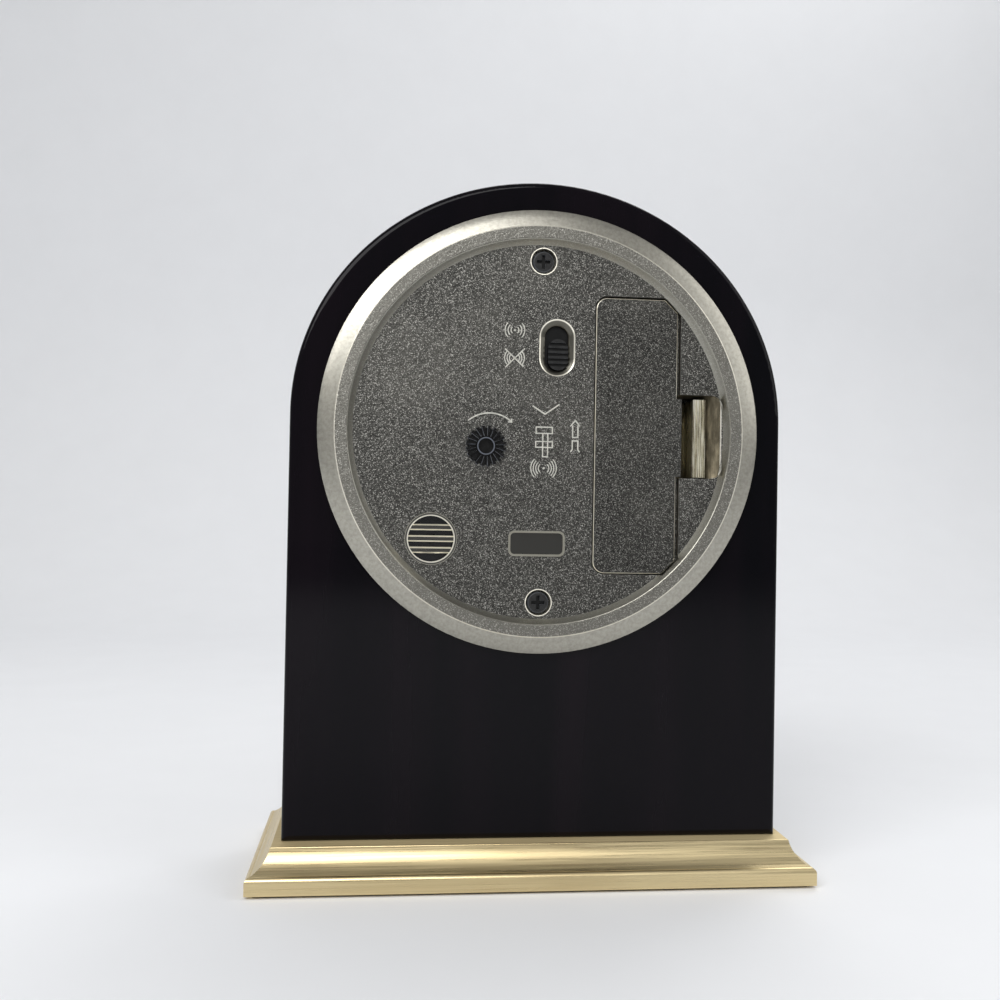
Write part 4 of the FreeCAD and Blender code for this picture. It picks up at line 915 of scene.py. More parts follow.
@dataclass(frozen=True)
class Metal(Finish):
    """Plated or bare metal with light rubbing marks.

    Args:
        colour, roughness: Colour and roughness of the metal.
        clouds, cloud_stops: Uneven tone.
        marks, mark_height, gloss_stops: Rubbing marks, and how they vary the roughness.
    """

    colour: Triple
    roughness: float = 0.3
    clouds: Grain = Grain(120)
    cloud_stops: Stops = ((0.35, 0.8), (0.6, 1.0))
    marks: Grain = Grain(1400)
    mark_height: float = 0.000008
    gloss_stops: Stops = ((0.3, 0.8), (0.7, 1.25))

    def dress(self, shader: Shader) -> None:
        """Adds the clouds and the marks.

        Args:
            shader: The shader to dress.
        """
        marks = shader.noise(self.marks)
        clouds = shader.noise(self.clouds)
        shader.set(Base_Color=shader.shares(clouds, self.colour, self.cloud_stops))
        shader.set(Normal=shader.bump(marks, self.mark_height), Metallic=1.0)
        shader.set(Roughness=shader.shares(marks, self.roughness, self.gloss_stops))


@dataclass(frozen=True)
class MarkPlating(Finish):
    """Smooth plating on raised signs, painted pale as a stand-in for the highlights they catch, so
    that it stands out from the sand texture.

    Args:
        colour, roughness, metallic: Values of the plating; the pale colour is partly a painted
            highlight.
        wear, tone_stops, gloss_stops: Wear, and how it varies colour and roughness.
    """

    colour: Triple = (0.62, 0.61, 0.55)
    roughness: float = 0.32
    metallic: float = 0.3
    wear: Grain = Grain(900)
    tone_stops: Stops = ((0.35, 0.75), (0.55, 1.0))
    gloss_stops: Stops = ((0.3, 0.8), (0.7, 1.2))

    def dress(self, shader: Shader) -> None:
        """Adds the wear.

        Args:
            shader: The shader to dress.
        """
        wear = shader.noise(self.wear)
        # The pale colour is partly a painted highlight on the signs.
        shader.set(Base_Color=shader.shares(wear, self.colour, self.tone_stops))
        shader.set(Roughness=shader.shares(wear, self.roughness, self.gloss_stops))
        shader.set(Metallic=self.metallic)


@dataclass(frozen=True)
class TonguePlating(Finish):
    """Smooth plating of the door's tongue, drawn in upright streaks that are partly painted
    reflections, with painted highlights on its ridges.

    Args:
        face_y: Depth of the finger pad's face.
        face_depth: How far below it the streaked face ends and how far it is whole.
        flat, dark, lower_shade, edge: Colours of the plating, its dark streaks, the painted shade
            of its lower parts and the painted highlight on its ridges.
        ridge_limits: Normal's Y between which a face turns from ridge to flat.
        streaks, streak_at: Streaks, and where they come to dark, flat and edge.
        wear_span, gloss: Where the streaks turn the lower parts' tone, and the roughness.
        metallic: Value of the shader.
    """

    face_y: float
    face_depth: Span = (0.0007, 0.0005)
    flat: Triple = (0.5, 0.46, 0.33)
    dark: Triple = (0.16, 0.13, 0.08)
    lower_shade: Triple = (0.34, 0.31, 0.22)
    edge: Triple = (0.95, 0.92, 0.8)
    ridge_limits: Span = (0.85, 0.96)
    streaks: Grain = Grain(1500, 4, stretch=(1.0, 1.0, 0.06))
    streak_at: Triple = (0.4, 0.5, 0.62)
    wear_span: Span = (0.3, 0.7)
    gloss: Span = (0.2, 0.36)
    metallic: float = 0.9

    def dress(self, shader: Shader) -> None:
        """Adds the streaks with their painted reflections, the painted highlights on the ridges and
        the painted shade of the lower parts.

        Args:
            shader: The shader to dress.
        """
        streaks = shader.noise(self.streaks)
        low, high = (self.face_y - depth for depth in self.face_depth)
        # Painted shade: parts below the finger pad's face take the darker lower tone.
        shown = shader.step(shader.axis(Axis.Y), low, high)
        # Streaks run from dark to bright, partly painted reflections.
        face = shader.ramp(streaks, *zip(self.streak_at, (self.dark, self.flat, self.edge)))
        under = shader.fade(streaks, self.wear_span, self.lower_shade, self.flat)
        # Painted highlight on the ridges.
        lines = shader.mix(shader.sloped(self.ridge_limits), face, self.edge)
        shader.set(Base_Color=shader.mix(shown, under, lines), Metallic=self.metallic)
        shader.set(Roughness=shader.fade(streaks, self.wear_span, *self.gloss))


@dataclass(frozen=True)
class Glass(Finish):
    """Clear mineral glass.

    Args:
        tint, refraction: Colour and index of refraction.
        smears, smear_span, gloss: Smears, where they show, and the roughness at either end.
    """

    tint: Triple = (0.98, 1.0, 0.99)
    refraction: float = 1.47
    smears: Grain = Grain(25)
    smear_span: Span = (0.55, 0.9)
    gloss: Span = (0.0, 0.03)

    def dress(self, shader: Shader) -> None:
        """Makes the shader clear, with smears."""
        shader.set(Base_Color=rgba(self.tint), Transmission_Weight=1.0, IOR=self.refraction)
        shader.set(Roughness=shader.fade(shader.noise(self.smears), self.smear_span, *self.gloss))


@dataclass(frozen=True)
class Felt(Finish):
    """Black felt with a fuzzy nap.

    Args:
        colour, tip, tip_span: Colours of the felt and of its fibres' tips, and where they turn.
        fibres, nap: Noise and height of the fibres.
        roughness, sheen: Values of the shader.
    """

    colour: Triple = (0.012, 0.012, 0.013)
    tip: Triple = (0.04, 0.04, 0.042)
    tip_span: Span = (0.3, 0.8)
    fibres: Grain = Grain(2200, 4, 0.8)
    nap: float = 0.0002
    roughness: float = 0.95
    sheen: float = 0.3

    def dress(self, shader: Shader) -> None:
        """Adds the fibres and the sheen.

        Args:
            shader: The shader to dress.
        """
        fibres = shader.noise(self.fibres)
        shader.set(Base_Color=shader.fade(fibres, self.tip_span, self.colour, self.tip))
        shader.set(Normal=shader.bump(fibres, self.nap))
        shader.set(Roughness=self.roughness, Sheen_Weight=self.sheen)


@dataclass(frozen=True)
class Winding(Finish):
    """Enamelled copper wire wound close together.

    Args:
        pitch: Distance from turn to turn.
        waves: Bands of the wave texture to one unit of its scale.
        distortion: How uneven the turns lie.
        colour, shade_stops: Colour of the wire, and its shade between turns.
        wire_height, metallic, roughness: Relief of the wire and values of the shader.
    """

    pitch: float = 0.0001
    waves: float = 20
    distortion: float = 0.8
    colour: Triple = (0.62, 0.24, 0.1)
    shade_stops: Stops = ((0.1, 0.45), (0.6, 1.0))
    wire_height: float = 0.00003
    metallic: float = 0.7
    roughness: float = 0.35

    def dress(self, shader: Shader) -> None:
        """Adds the turns.

        Args:
            shader: The shader to dress.
        """
        turns = shader.add("ShaderNodeTexWave", wave_type="BANDS", bands_direction="X")
        shader.link(shader.scaled((1 / self.pitch / self.waves,) * 3), turns.inputs["Vector"])
        turns.inputs["Scale"].default_value = 1.0
        turns.inputs["Distortion"].default_value = self.distortion
        band = turns.outputs["Fac"]
        shader.set(Base_Color=shader.shares(band, self.colour, self.shade_stops))
        shader.set(Normal=shader.bump(band, self.wire_height))
        shader.set(Metallic=self.metallic, Roughness=self.roughness)


@dataclass(frozen=True)
class CellJacket(Finish):
    """Plain two-tone jacket of a battery cell, with bare steel ends.

    Args:
        body, band, steel: Colours of the jacket, of its upper band and of the ends.
        band_from, band_soft: Height at which the band begins, and over what length.
        end_from: Normal's Z from which a face is an end.
        band_metallic, coat: Metallic share of the band and weight of the clear film.
        scuffs, scuff_span, gloss: Scuffs, where they show, and the roughness at either end.
    """

    body: Triple = (0.02, 0.022, 0.026)
    band: Triple = (0.55, 0.27, 0.1)
    steel: Triple = (0.7, 0.7, 0.68)
    band_from: float = 0.107
    band_soft: float = 0.0002
    end_from: float = 0.6
    band_metallic: float = 0.6
    coat: float = 0.4
    scuffs: Grain = Grain(300, 4)
    scuff_span: Span = (0.4, 0.75)
    gloss: Span = (0.22, 0.4)

    def dress(self, shader: Shader) -> None:
        """Adds the band, the ends and the scuffs.

        Args:
            shader: The shader to dress.
        """
        above = shader.step(shader.axis(Axis.Z), self.band_from, self.band_from + self.band_soft)
        end = shader.above(shader.facing(Axis.Z), self.end_from)
        jacket = shader.mix(above, self.body, self.band)
        shader.set(Base_Color=shader.mix(end, jacket, self.steel), Coat_Weight=self.coat)
        shader.set(Metallic=shader.greatest(end, shader.times(above, self.band_metallic)))
        scuffs = shader.noise(self.scuffs)
        shader.set(Roughness=shader.fade(scuffs, self.scuff_span, *self.gloss))


@dataclass(frozen=True)
class Board(Finish):
    """Solder mask over copper areas that show as paler shapes.

    Args:
        mask, copper: Colours over bare board and over copper.
        scale, gap, offset, squash: Size, gaps and layout of the copper shapes.
        relief, roughness, coat: Height of the copper and values of the shader.
    """

    mask: Triple = (0.02, 0.12, 0.05)
    copper: Triple = (0.05, 0.26, 0.1)
    scale: float = 260
    gap: float = 0.05
    offset: float = 0.37
    squash: float = 1.6
    relief: float = 0.00002
    roughness: float = 0.3
    coat: float = 0.3

    def dress(self, shader: Shader) -> None:
        """Adds the copper shapes, turned into the plane of the board.

        Args:
            shader: The shader to dress.
        """
        shapes = shader.add("ShaderNodeTexBrick", offset=self.offset, squash=self.squash)
        turn = shader.add("ShaderNodeMapping")
        shader.link(shader.place, turn.inputs["Vector"])
        turn.inputs["Scale"].default_value = (self.scale,) * 3
        turn.inputs["Rotation"].default_value = (math.pi / 2, 0, 0)
        shader.link(turn.outputs["Vector"], shapes.inputs["Vector"])
        shapes.inputs["Mortar Size"].default_value = self.gap
        shapes.inputs["Scale"].default_value = 1.0
        tracks = shapes.outputs["Fac"]
        shader.set(Base_Color=shader.mix(tracks, self.copper, self.mask))
        shader.set(Normal=shader.bump(tracks, self.relief))
        shader.set(Roughness=self.roughness, Coat_Weight=self.coat)


@dataclass(frozen=True)
class DialEnamel(Finish):
    """Ivory dial lacquer with a very fine grain.

    Args:
        centre_z: Height of the dial's middle.
        colour, edge, fade_span: Colours of middle and edge, and the radii between which they turn.
        grain, grain_height, roughness: Grain and roughness of the lacquer.
    """

    centre_z: float
    colour: Triple = (0.84, 0.81, 0.72)
    edge: Triple = (0.76, 0.72, 0.62)
    fade_span: Span = (0.012, 0.04)
    grain: Grain = Grain(1800, 2)
    grain_height: float = 0.00001
    roughness: float = 0.5

    def dress(self, shader: Shader) -> None:
        """Adds the fading towards the edge and the grain.

        Args:
            shader: The shader to dress.
        """
        outward = shader.step(shader.radius(self.centre_z), *self.fade_span)
        grain = shader.noise(self.grain)
        shader.set(Base_Color=shader.mix(outward, self.colour, self.edge))
        shader.set(Normal=shader.bump(grain, self.grain_height), Roughness=self.roughness)


@dataclass(frozen=True)
class Paper(Finish):
    """Pale studio floor and backdrop.

    Args:
        colour, tone_stops, tooth: Colour of the paper, and its faint unevenness.
        roughness: Value of the shader.
    """

    colour: Triple = (0.82, 0.83, 0.85)
    tone_stops: Stops = ((0.3, 1.0), (0.7, 1.02))
    tooth: Grain = Grain(30)
    roughness: float = 0.8

    def dress(self, shader: Shader) -> None:
        """Adds the paper's tooth."""
        tooth = shader.shares(shader.noise(self.tooth), self.colour, self.tone_stops)
        shader.set(Base_Color=tooth, Roughness=self.roughness)


# Shapes


def placed(name: str, mesh: bmesh.types.BMesh) -> Piece:
    """Turns a mesh that is being edited into an object.

    Args:
        name: Name of the object.
        mesh: The edited mesh, which is freed.

    Returns:
        The new object, linked to the scene.
    """
    data = bpy.data.meshes.new(name)
    mesh.to_mesh(data)
    mesh.free()
    made = bpy.data.objects.new(name, data)
    bpy.context.scene.collection.objects.link(made)
    return made


def extruded(name: str, outlines: list[Outline], y_from: float, y_to: float) -> Piece:
    """Flat outlines in X and Z, raised between two depths.

    Args:
        name: Name of the object.
        outlines: Simple polygons, with their corners in millimetres.
        y_from: Depth of the buried face.
        y_to: Depth of the shown face; each outline ends a little further out than the one
            before, so that crossing lines don't share a face.

    Returns:
        The new object, linked to the scene.
    """
    mesh = bmesh.new()
    for number, corners in enumerate(outlines):
        shown = y_to + (y_to - y_from) * OUTLINE_STEP * (number % OUTLINE_STEPS)
        back = [mesh.verts.new((x * MM, y_from, z * MM)) for x, z in corners]
        front = [mesh.verts.new((x * MM, shown, z * MM)) for x, z in corners]
        mesh.faces.new(front)
        mesh.faces.new(back[::-1])
        count = len(corners)
        for index in range(count):
            after = (index + 1) % count
            mesh.faces.new((front[index], back[index], back[after], front[after]))
    bmesh.ops.recalc_face_normals(mesh, faces=mesh.faces)
    return placed(name, mesh)


def stroke(points: list[Point], width: float, closed: bool = False) -> list[Outline]:
    """Line of even width through points, with mitred corners.

    Args:
        points: Corners of the line.
        width: Width of the line.
        closed: Whether it runs back to its first point.

    Returns:
        One quad for each stretch; neighbours share their corners and don't overlap.
    """
    half = width / 2
    ahead = points[1:] + points[:1] if closed else points[1:]
    runs = []
    for (x1, z1), (x2, z2) in zip(points, ahead):
        length = math.hypot(x2 - x1, z2 - z1) or 1.0
        runs.append(((x2 - x1) / length, (z2 - z1) / length))
    pairs = []
    for index, (x, z) in enumerate(points):
        after = runs[index] if index < len(runs) else None
        before = runs[index - 1] if index or closed else None
        if before and after:
            turn = 1 + before[0] * after[0] + before[1] * after[1]
            share = half / max(SHARPEST_MITRE, turn)
            across, up = -(before[1] + after[1]) * share, (before[0] + after[0]) * share
        else:
            only = after or before
            across, up = -only[1] * half, only[0] * half
            slide = half if before else -half
            x, z = x + only[0] * slide, z + only[1] * slide
        pairs.append(((x + across, z + up), (x - across, z - up)))
    following = pairs[1:] + pairs[:1] if closed else pairs[1:]
    return [[first[0], second[0], second[1], first[1]] for first, second in zip(pairs, following)]


def arc(centre: Point, radius: float, from_deg: float, to_deg: float, steps: int) -> Outline:
    """Points on an arc, with angles from +X towards +Z.

    Args:
        centre: Middle of the arc.
        radius: Its radius.
        from_deg: Angle of its first point.
        to_deg: Angle of its last point.
        steps: How many stretches it has.

    Returns:
        The points.
    """
    turn = to_deg - from_deg
    angles = [math.radians(from_deg + turn * step / steps) for step in range(steps + 1)]
    x, z = centre
    return [(x + radius * math.cos(angle), z + radius * math.sin(angle)) for angle in angles]


def ring(radius: float, width: float, steps: int = 96) -> list[Outline]:
    """Flat ring about the dial axis.

    Args:
        radius: Middle radius.
        width: Width of the ring.
        steps: How many quads it has.

    Returns:
        The quads.
    """
    outlines = []
    inner, outer = radius - width / 2, radius + width / 2
    for step in range(steps):
        first, second = (2 * math.pi * (step + extra) / steps for extra in (0, 1))
        polar = ((outer, first), (outer, second), (inner, second), (inner, first))
        outlines.append([(reach * math.cos(turn), reach * math.sin(turn)) for reach, turn in polar])
    return outlines


def upright(left: float, right: float, low: float, high: float) -> Outline:
    """Corners of an upright rectangle."""
    return [(left, low), (right, low), (right, high), (left, high)]


def rounded_edges(piece: Piece, width: float) -> None:
    """Adds a small rounded arris that catches the light, with no change to the mesh itself.

    Args:
        piece: The piece.
        width: Width of the arris.
    """
    weld = piece.modifiers.new("weld", "WELD")
    weld.merge_threshold = MERGE_DISTANCE
    bevel = piece.modifiers.new("arris", "BEVEL")
    bevel.width = width
    bevel.segments = ARRIS_SEGMENTS
    bevel.limit_method = "ANGLE"
    bevel.angle_limit = math.radians(ARRIS_ANGLE)
    bevel.harden_normals = False


# Sub-assemblies


@dataclass
class FlatWork:
    """Thin shapes on a face of the case, drawn about the dial axis.

    Args:
        material: Finish of the shapes.
        face_y: Depth of the face that carries them.
        dial_z: Height of the dial axis, in millimetres.
    """

    material: bpy.types.Material
    face_y: float
    dial_z: float

    def raised(self, name: str, outlines: list[Outline], depths: Span, slot: Slot) -> Piece:
        """Builds one piece of the work and dresses it.

        Args:
            name: Name of the piece.
            outlines: Its outlines about the dial axis, in millimetres.
            depths: Where it begins and ends, from the face.
            slot: Record slot of its finish; not used.

        Returns:
            The piece.
        """
        lifted = [[(x, z + self.dial_z) for x, z in corners] for corners in outlines]
        piece = extruded(name, lifted, self.face_y + depths[0], self.face_y + depths[1])
        piece.data.materials.append(self.material)
        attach(piece, Body.CASE.value)
        return piece


@dataclass
class RearMarks(FlatWork):
    """Raised generic signs on the rear cover: alarm on and off, setting directions and waves.

    Args:
        line, height, sink: Width of the lines in millimetres, and their reach over and under
            the floor.
        fine: Share by which the longer lines are wider.
        wave: Share by which the waves are narrower.
        dot_turn, dot_steps, wave_steps, turn_steps: Corners of dots and arcs.
    """

    line: float = 0.25
    height: float = 0.2 * MM
    sink: float = 0.1 * MM
    fine: float = 1.15
    wave: float = 0.8
    dot_turn: float = 330
    dot_steps: int = 10
    wave_steps: int = 8
    turn_steps: int = 14

    def waves(self, centre: Point, radii: tuple[float, ...], spread: float = 42) -> list[Outline]:
        """Sound waves: a dot between arcs on either side.

        Args:
            centre: Middle of the dot.
            radii: Radii of the arcs.
            spread: Half of each arc's angle.

        Returns:
            The outlines.
        """
        outlines = [arc(centre, self.line, 0, self.dot_turn, self.dot_steps)]
        for radius in radii:
            for side in (0, 180):
                points = arc(centre, radius, side - spread, side + spread, self.wave_steps)
                outlines += stroke(points, self.line * self.wave)
        return outlines

    def box(self, left: float, right: float, low: float, high: float) -> list[Outline]:
        """Box drawn with lines."""
        return stroke(upright(left, right, low, high), self.line, closed=True)

    def signs(self) -> dict[str, list[Outline]]:
        """Draws all signs about the dial axis, in millimetres.

        Returns:
            The outlines of each sign by its name.
        """
        line = self.line
        fine = line * self.fine
        turn = arc((11.2, -3.44), 7.15, 50.5, 130.5, self.turn_steps)
        return {
            "sign_alarm_on": self.waves((6.1, 21.8), (0.85, 1.5, 2.15)),
            "sign_alarm_off": self.waves((6.1, 15.75), (1.1, 1.6, 2.15), 38)
            + stroke([(8.0, 13.75), (3.95, 17.8)], line)
            + stroke([(8.05, 17.6), (4.2, 14.0)], line),
            "sign_tick": stroke([(1.85, 5.45), (-0.79, 3.78), (-3.75, 5.87)], fine),
            "sign_knob_pull": self.box(-2.45, 1.1, -0.4, 0.95)
            + self.box(-2.5, 1.15, -3.42, -2.17)
            + stroke([(-0.38, -0.4), (-0.38, -5.45), (-1.46, -5.45), (-1.46, -0.4)], line),
            "sign_waves": self.waves((-0.65, -7.95), (1.15, 1.7, 2.25, 2.8)),
            "sign_arrow": stroke([(-6.45, 1.36), (-7.45, 2.6), (-8.45, 1.36)], line)
            + stroke([(-6.9, 1.36), (-6.9, -1.1), (-8.05, -1.1), (-8.05, 1.36)], line),
            "sign_cap": stroke([(-6.55, -4.2), (-6.85, -3.75), (-6.85, -1.86)], line)
            + stroke([(-6.85, -1.86), (-8.08, -1.86), (-8.08, -3.75), (-8.4, -4.2)], line),
            "sign_turn": stroke(turn, fine)
            + stroke([(6.5, 2.5), (6.45, 1.85), (7.1, 1.9)], line),
        }

    def build(self) -> list[Piece]:
        """Builds the signs.

        Returns:
            One piece for each sign.
        """
        depths = (-self.sink, self.height)
        signs = self.signs().items()
        return [self.raised(name, drawn, depths, Slot.CHAMPAGNE) for name, drawn in signs]


@dataclass
class DialFace(FlatWork):
    """Printed dial: Roman hours, a minute track and an alarm scale, in millimetres.

    Args:
        track_radius, track_width, track_line, hour_line: Minute track and its lines.
        numeral_radius, numeral_height, numeral_width: Place and size of the hours; the width is
            a share of the height.
        letter_gap: Gap between letters, for a height of 1.
        thick, thin: Widths of the letters' strokes, for a height of 1.
        serif, foot: Height and half-width of their serifs, for a height of 1.
        scale_radius, scale_ring, scale_tick, scale_hour: Alarm scale and the widths of its lines.
        tick_length, hour_length: Lengths of the alarm scale's ticks.
        minutes, hour_marks, alarm_marks: Numbers of ticks.
        relief: Height of the print over the dial, in metres.
    """

    track_radius: float = 37.2
    track_width: float = 1.7
    track_line: float = 0.16
    hour_line: float = 0.55
    numeral_radius: float = 30.6
    numeral_height: float = 7.6
    numeral_width: float = 0.8
    letter_gap: float = 0.05
    thick: float = 0.15
    thin: float = 0.06
    serif: float = 0.05
    foot: float = 0.15
    scale_radius: float = 19.5
    scale_ring: float = 0.13
    scale_tick: float = 0.12
    scale_hour: float = 0.3
    tick_length: float = 0.8
    hour_length: float = 1.5
    minutes: int = 60
    hour_marks: int = 12
    alarm_marks: int = 48
    relief: float = 0.05 * MM

    def glyph(self, kind: Glyph) -> tuple[list[Outline], float]:
        """One letter in a box one unit high.

        Args:
            kind: Which letter.

        Returns:
            Its quads and its width.
        """
        thick, thin = self.thick, self.thin
        if kind is Glyph.ONE:
            width = 0.36
            middle = width / 2
            quads = [upright(middle - thick / 2, middle + thick / 2, 0, 1)]
            feet = [(middle, 0), (middle, 1)]
        elif kind is Glyph.FIVE:
            width, point = 0.66, 0.36
            tops = ((0.08, 0.08 + thick), (0.58 - thin / 2, 0.58 + thin / 2))
            ends = ((point + thick / 2, point - thick / 2), (point + thin, point - thin / 2))
            feet = [(0.155, 1), (0.57, 1)]
        else:
            width = 0.7
            tops = ((0.07, 0.07 + thick), (0.6 - thin, 0.6 + thin / 3))
            ends = ((0.63, 0.63 - thick), (0.11 + thin / 2, 0.11 - thin / 2))
            feet = [(0.145, 1), (0.57, 1), (0.13, 0), (0.555, 0)]
        if kind is not Glyph.ONE:
            quads = [
                [(top[0], 1), (top[1], 1), (end[0], 0), (end[1], 0)]
                for top, end in zip(tops, ends)
            ]
        for x, z in feet:
            low = z if z == 0 else z - self.serif
            quads.append(upright(x - self.foot, x + self.foot, low, low + self.serif))
        return quads, width

    def numeral(self, text: str) -> list[Outline]:
        """A whole numeral, centred on its own middle.

        Args:
            text: Its letters.

        Returns:
            Its quads, for a height of 1.
        """
        quads, reach = [], 0.0
        for letter in text:
            shapes, width = self.glyph(Glyph(letter))
            quads += [[(x + reach, z) for x, z in quad] for quad in shapes]
            reach += width + self.letter_gap
        middle = (reach - self.letter_gap) / 2
        return [[(x - middle, z - 0.5) for x, z in quad] for quad in quads]

    def hours(self) -> list[Outline]:
        """Twelve numerals, each with its foot towards the centre.

        Returns:
            Their quads.
        """
        texts = ["XII", "I", "II", "III", "IIII", "V", "VI", "VII", "VIII", "IX", "X", "XI"]
        outlines = []
        for hour, text in enumerate(texts):
            angle = 2 * math.pi * hour / len(texts)
            sine, cosine = math.sin(angle), math.cos(angle)
            for quad in self.numeral(text):
                corners = []
                for x, z in quad:
                    across = x * self.numeral_height * self.numeral_width
                    out = z * self.numeral_height + self.numeral_radius
                    corners.append((out * sine + across * cosine, out * cosine - across * sine))
                outlines.append(corners)
        return outlines

    def ticks(self, count: int, inner: float, outer: float, width: float) -> list[Outline]:
        """Radial ticks round the dial.

        Args:
            count: How many.
            inner: Radius of their inner ends.
            outer: Radius of their outer ends.
            width: Their width.

        Returns:
            Their quads.
        """
        outlines = []
        for number in range(count):
            angle = 2 * math.pi * number / count
            sine, cosine = math.sin(angle), math.cos(angle)
            ends = [(inner * sine, inner * cosine), (outer * sine, outer * cosine)]
            outlines += stroke(ends, width)
        return outlines

    def build(self) -> list[Piece]:
        """Builds numerals, minute track and alarm scale.

        Returns:
            The three printed pieces.
        """
        half = self.track_width / 2
        inner, outer = self.track_radius - half, self.track_radius + half
        track = ring(inner, self.track_line) + ring(outer, self.track_line)
        track += self.ticks(self.minutes, inner, outer, self.track_line)
        track += self.ticks(self.hour_marks, inner, outer, self.hour_line)
        start = self.scale_radius
        tick_end, hour_end = start + self.tick_length, start + self.hour_length
        scale = ring(start, self.scale_ring)
        scale += self.ticks(self.alarm_marks, start, tick_end, self.scale_tick)
        scale += self.ticks(self.hour_marks, start, hour_end, self.scale_hour)
        prints = {"dial_hours": self.hours(), "dial_track": track, "dial_alarm_scale": scale}
        depths = (self.relief, -self.relief)
        return [self.raised(name, drawn, depths, Slot.PRINT) for name, drawn in prints.items()]


@dataclass
class CadDresser:
    """Gives every CAD node its finish, and small rounded edges where they show.

    Args:
        nodes: CAD nodes by name.
        slots: Material slot of each node by name.
        finishes: Material of each slot.
        special: Materials of nodes that don't take their slot's.
        arrises: Width of the rounded edges of each node that has them.
    """

    nodes: dict[str, Piece]
    slots: dict[str, str]
    finishes: dict[str, bpy.types.Material]
    special: dict[str, bpy.types.Material]
    arrises: dict[str, float]

    def build(self) -> list[Piece]:
        """Assigns the finishes and the rounded edges.

        Returns:
            The dressed nodes.
        """
        for name, node in self.nodes.items():
            material = self.special.get(name) or self.finishes[self.slots[name]]
            node.data.materials.clear()
            node.data.materials.append(material)
            if name in self.arrises:
                rounded_edges(node, self.arrises[name])
        return list(self.nodes.values())


@dataclass(frozen=True)
class PhotoCamera:
    """Camera at the photograph's viewpoint.

    Args:
        place: Position in the row frame.
        focal_px, frame_px: Focal length and width of the frame, in pixels.
        yaw, pitch, roll: Turns from a level look along -Y, in radians.
        sensor_mm: Width of the sensor.
        near, far: Distances between which things are seen.
    """

    place: Triple = (0.03353, 0.24883, 0.07829)
    focal_px: float = 1075.03
    frame_px: float = 1000.0
    yaw: float = 0.1075
    pitch: float = 0.0165
    roll: float = 0.0176
    sensor_mm: float = 36.0
    near: float = 0.01
    far: float = 20

    def turn(self) -> Matrix:
        """Works out how the camera is turned.

        Returns:
            Its turn, as a matrix.
        """
        level_right = Vector((-math.cos(self.yaw), math.sin(self.yaw), 0))
        level_ahead = Vector((-math.sin(self.yaw), -math.cos(self.yaw), 0))
        upright_axis = Vector((0, 0, 1))
        tilted_up = math.cos(self.pitch) * upright_axis - math.sin(self.pitch) * level_ahead
        ahead = math.sin(self.pitch) * upright_axis + math.cos(self.pitch) * level_ahead
        right = math.cos(self.roll) * level_right + math.sin(self.roll) * tilted_up
        top = -math.sin(self.roll) * level_right + math.cos(self.roll) * tilted_up
        return Matrix((right, top, -ahead)).transposed().to_4x4()

    def build(self) -> list[Piece]:
        """Makes the camera the scene's own.

        Returns:
            The camera.
        """
        data = bpy.data.cameras.new("camera")
        data.sensor_fit = "HORIZONTAL"
        data.sensor_width = self.sensor_mm
        data.lens = self.focal_px / self.frame_px * self.sensor_mm
        data.clip_start = self.near
        data.clip_end = self.far
        camera = bpy.data.objects.new("camera", data)
        camera.matrix_world = Matrix.Translation(self.place) @ self.turn()
        bpy.context.scene.collection.objects.link(camera)
        bpy.context.scene.camera = camera
        return [camera]


@dataclass(frozen=True)
class Lamp:
    """Soft rectangular lamp aimed at the clock.

    Args:
        name: Name of the lamp.
        place: Position of its middle.
        size: Its two sides.
        watts: Its power.
        aim: Point that it faces.
    """

    name: str
    place: Triple
    size: Point
    watts: float
    aim: Triple = (0.0, 0.0, 0.08)

    def build(self) -> Piece:
        """Adds the lamp to the scene.

        Returns:
            The lamp.
        """
        data = bpy.data.lights.new(self.name, "AREA")
        data.shape = "RECTANGLE"
        data.size, data.size_y = self.size
        data.energy = self.watts
        lamp = bpy.data.objects.new(self.name, data)
        lamp.location = self.place
        line = Vector(self.aim) - Vector(self.place)
        lamp.rotation_euler = line.to_track_quat("-Z", "Y").to_euler()
        bpy.context.scene.collection.objects.link(lamp)
        return lamp


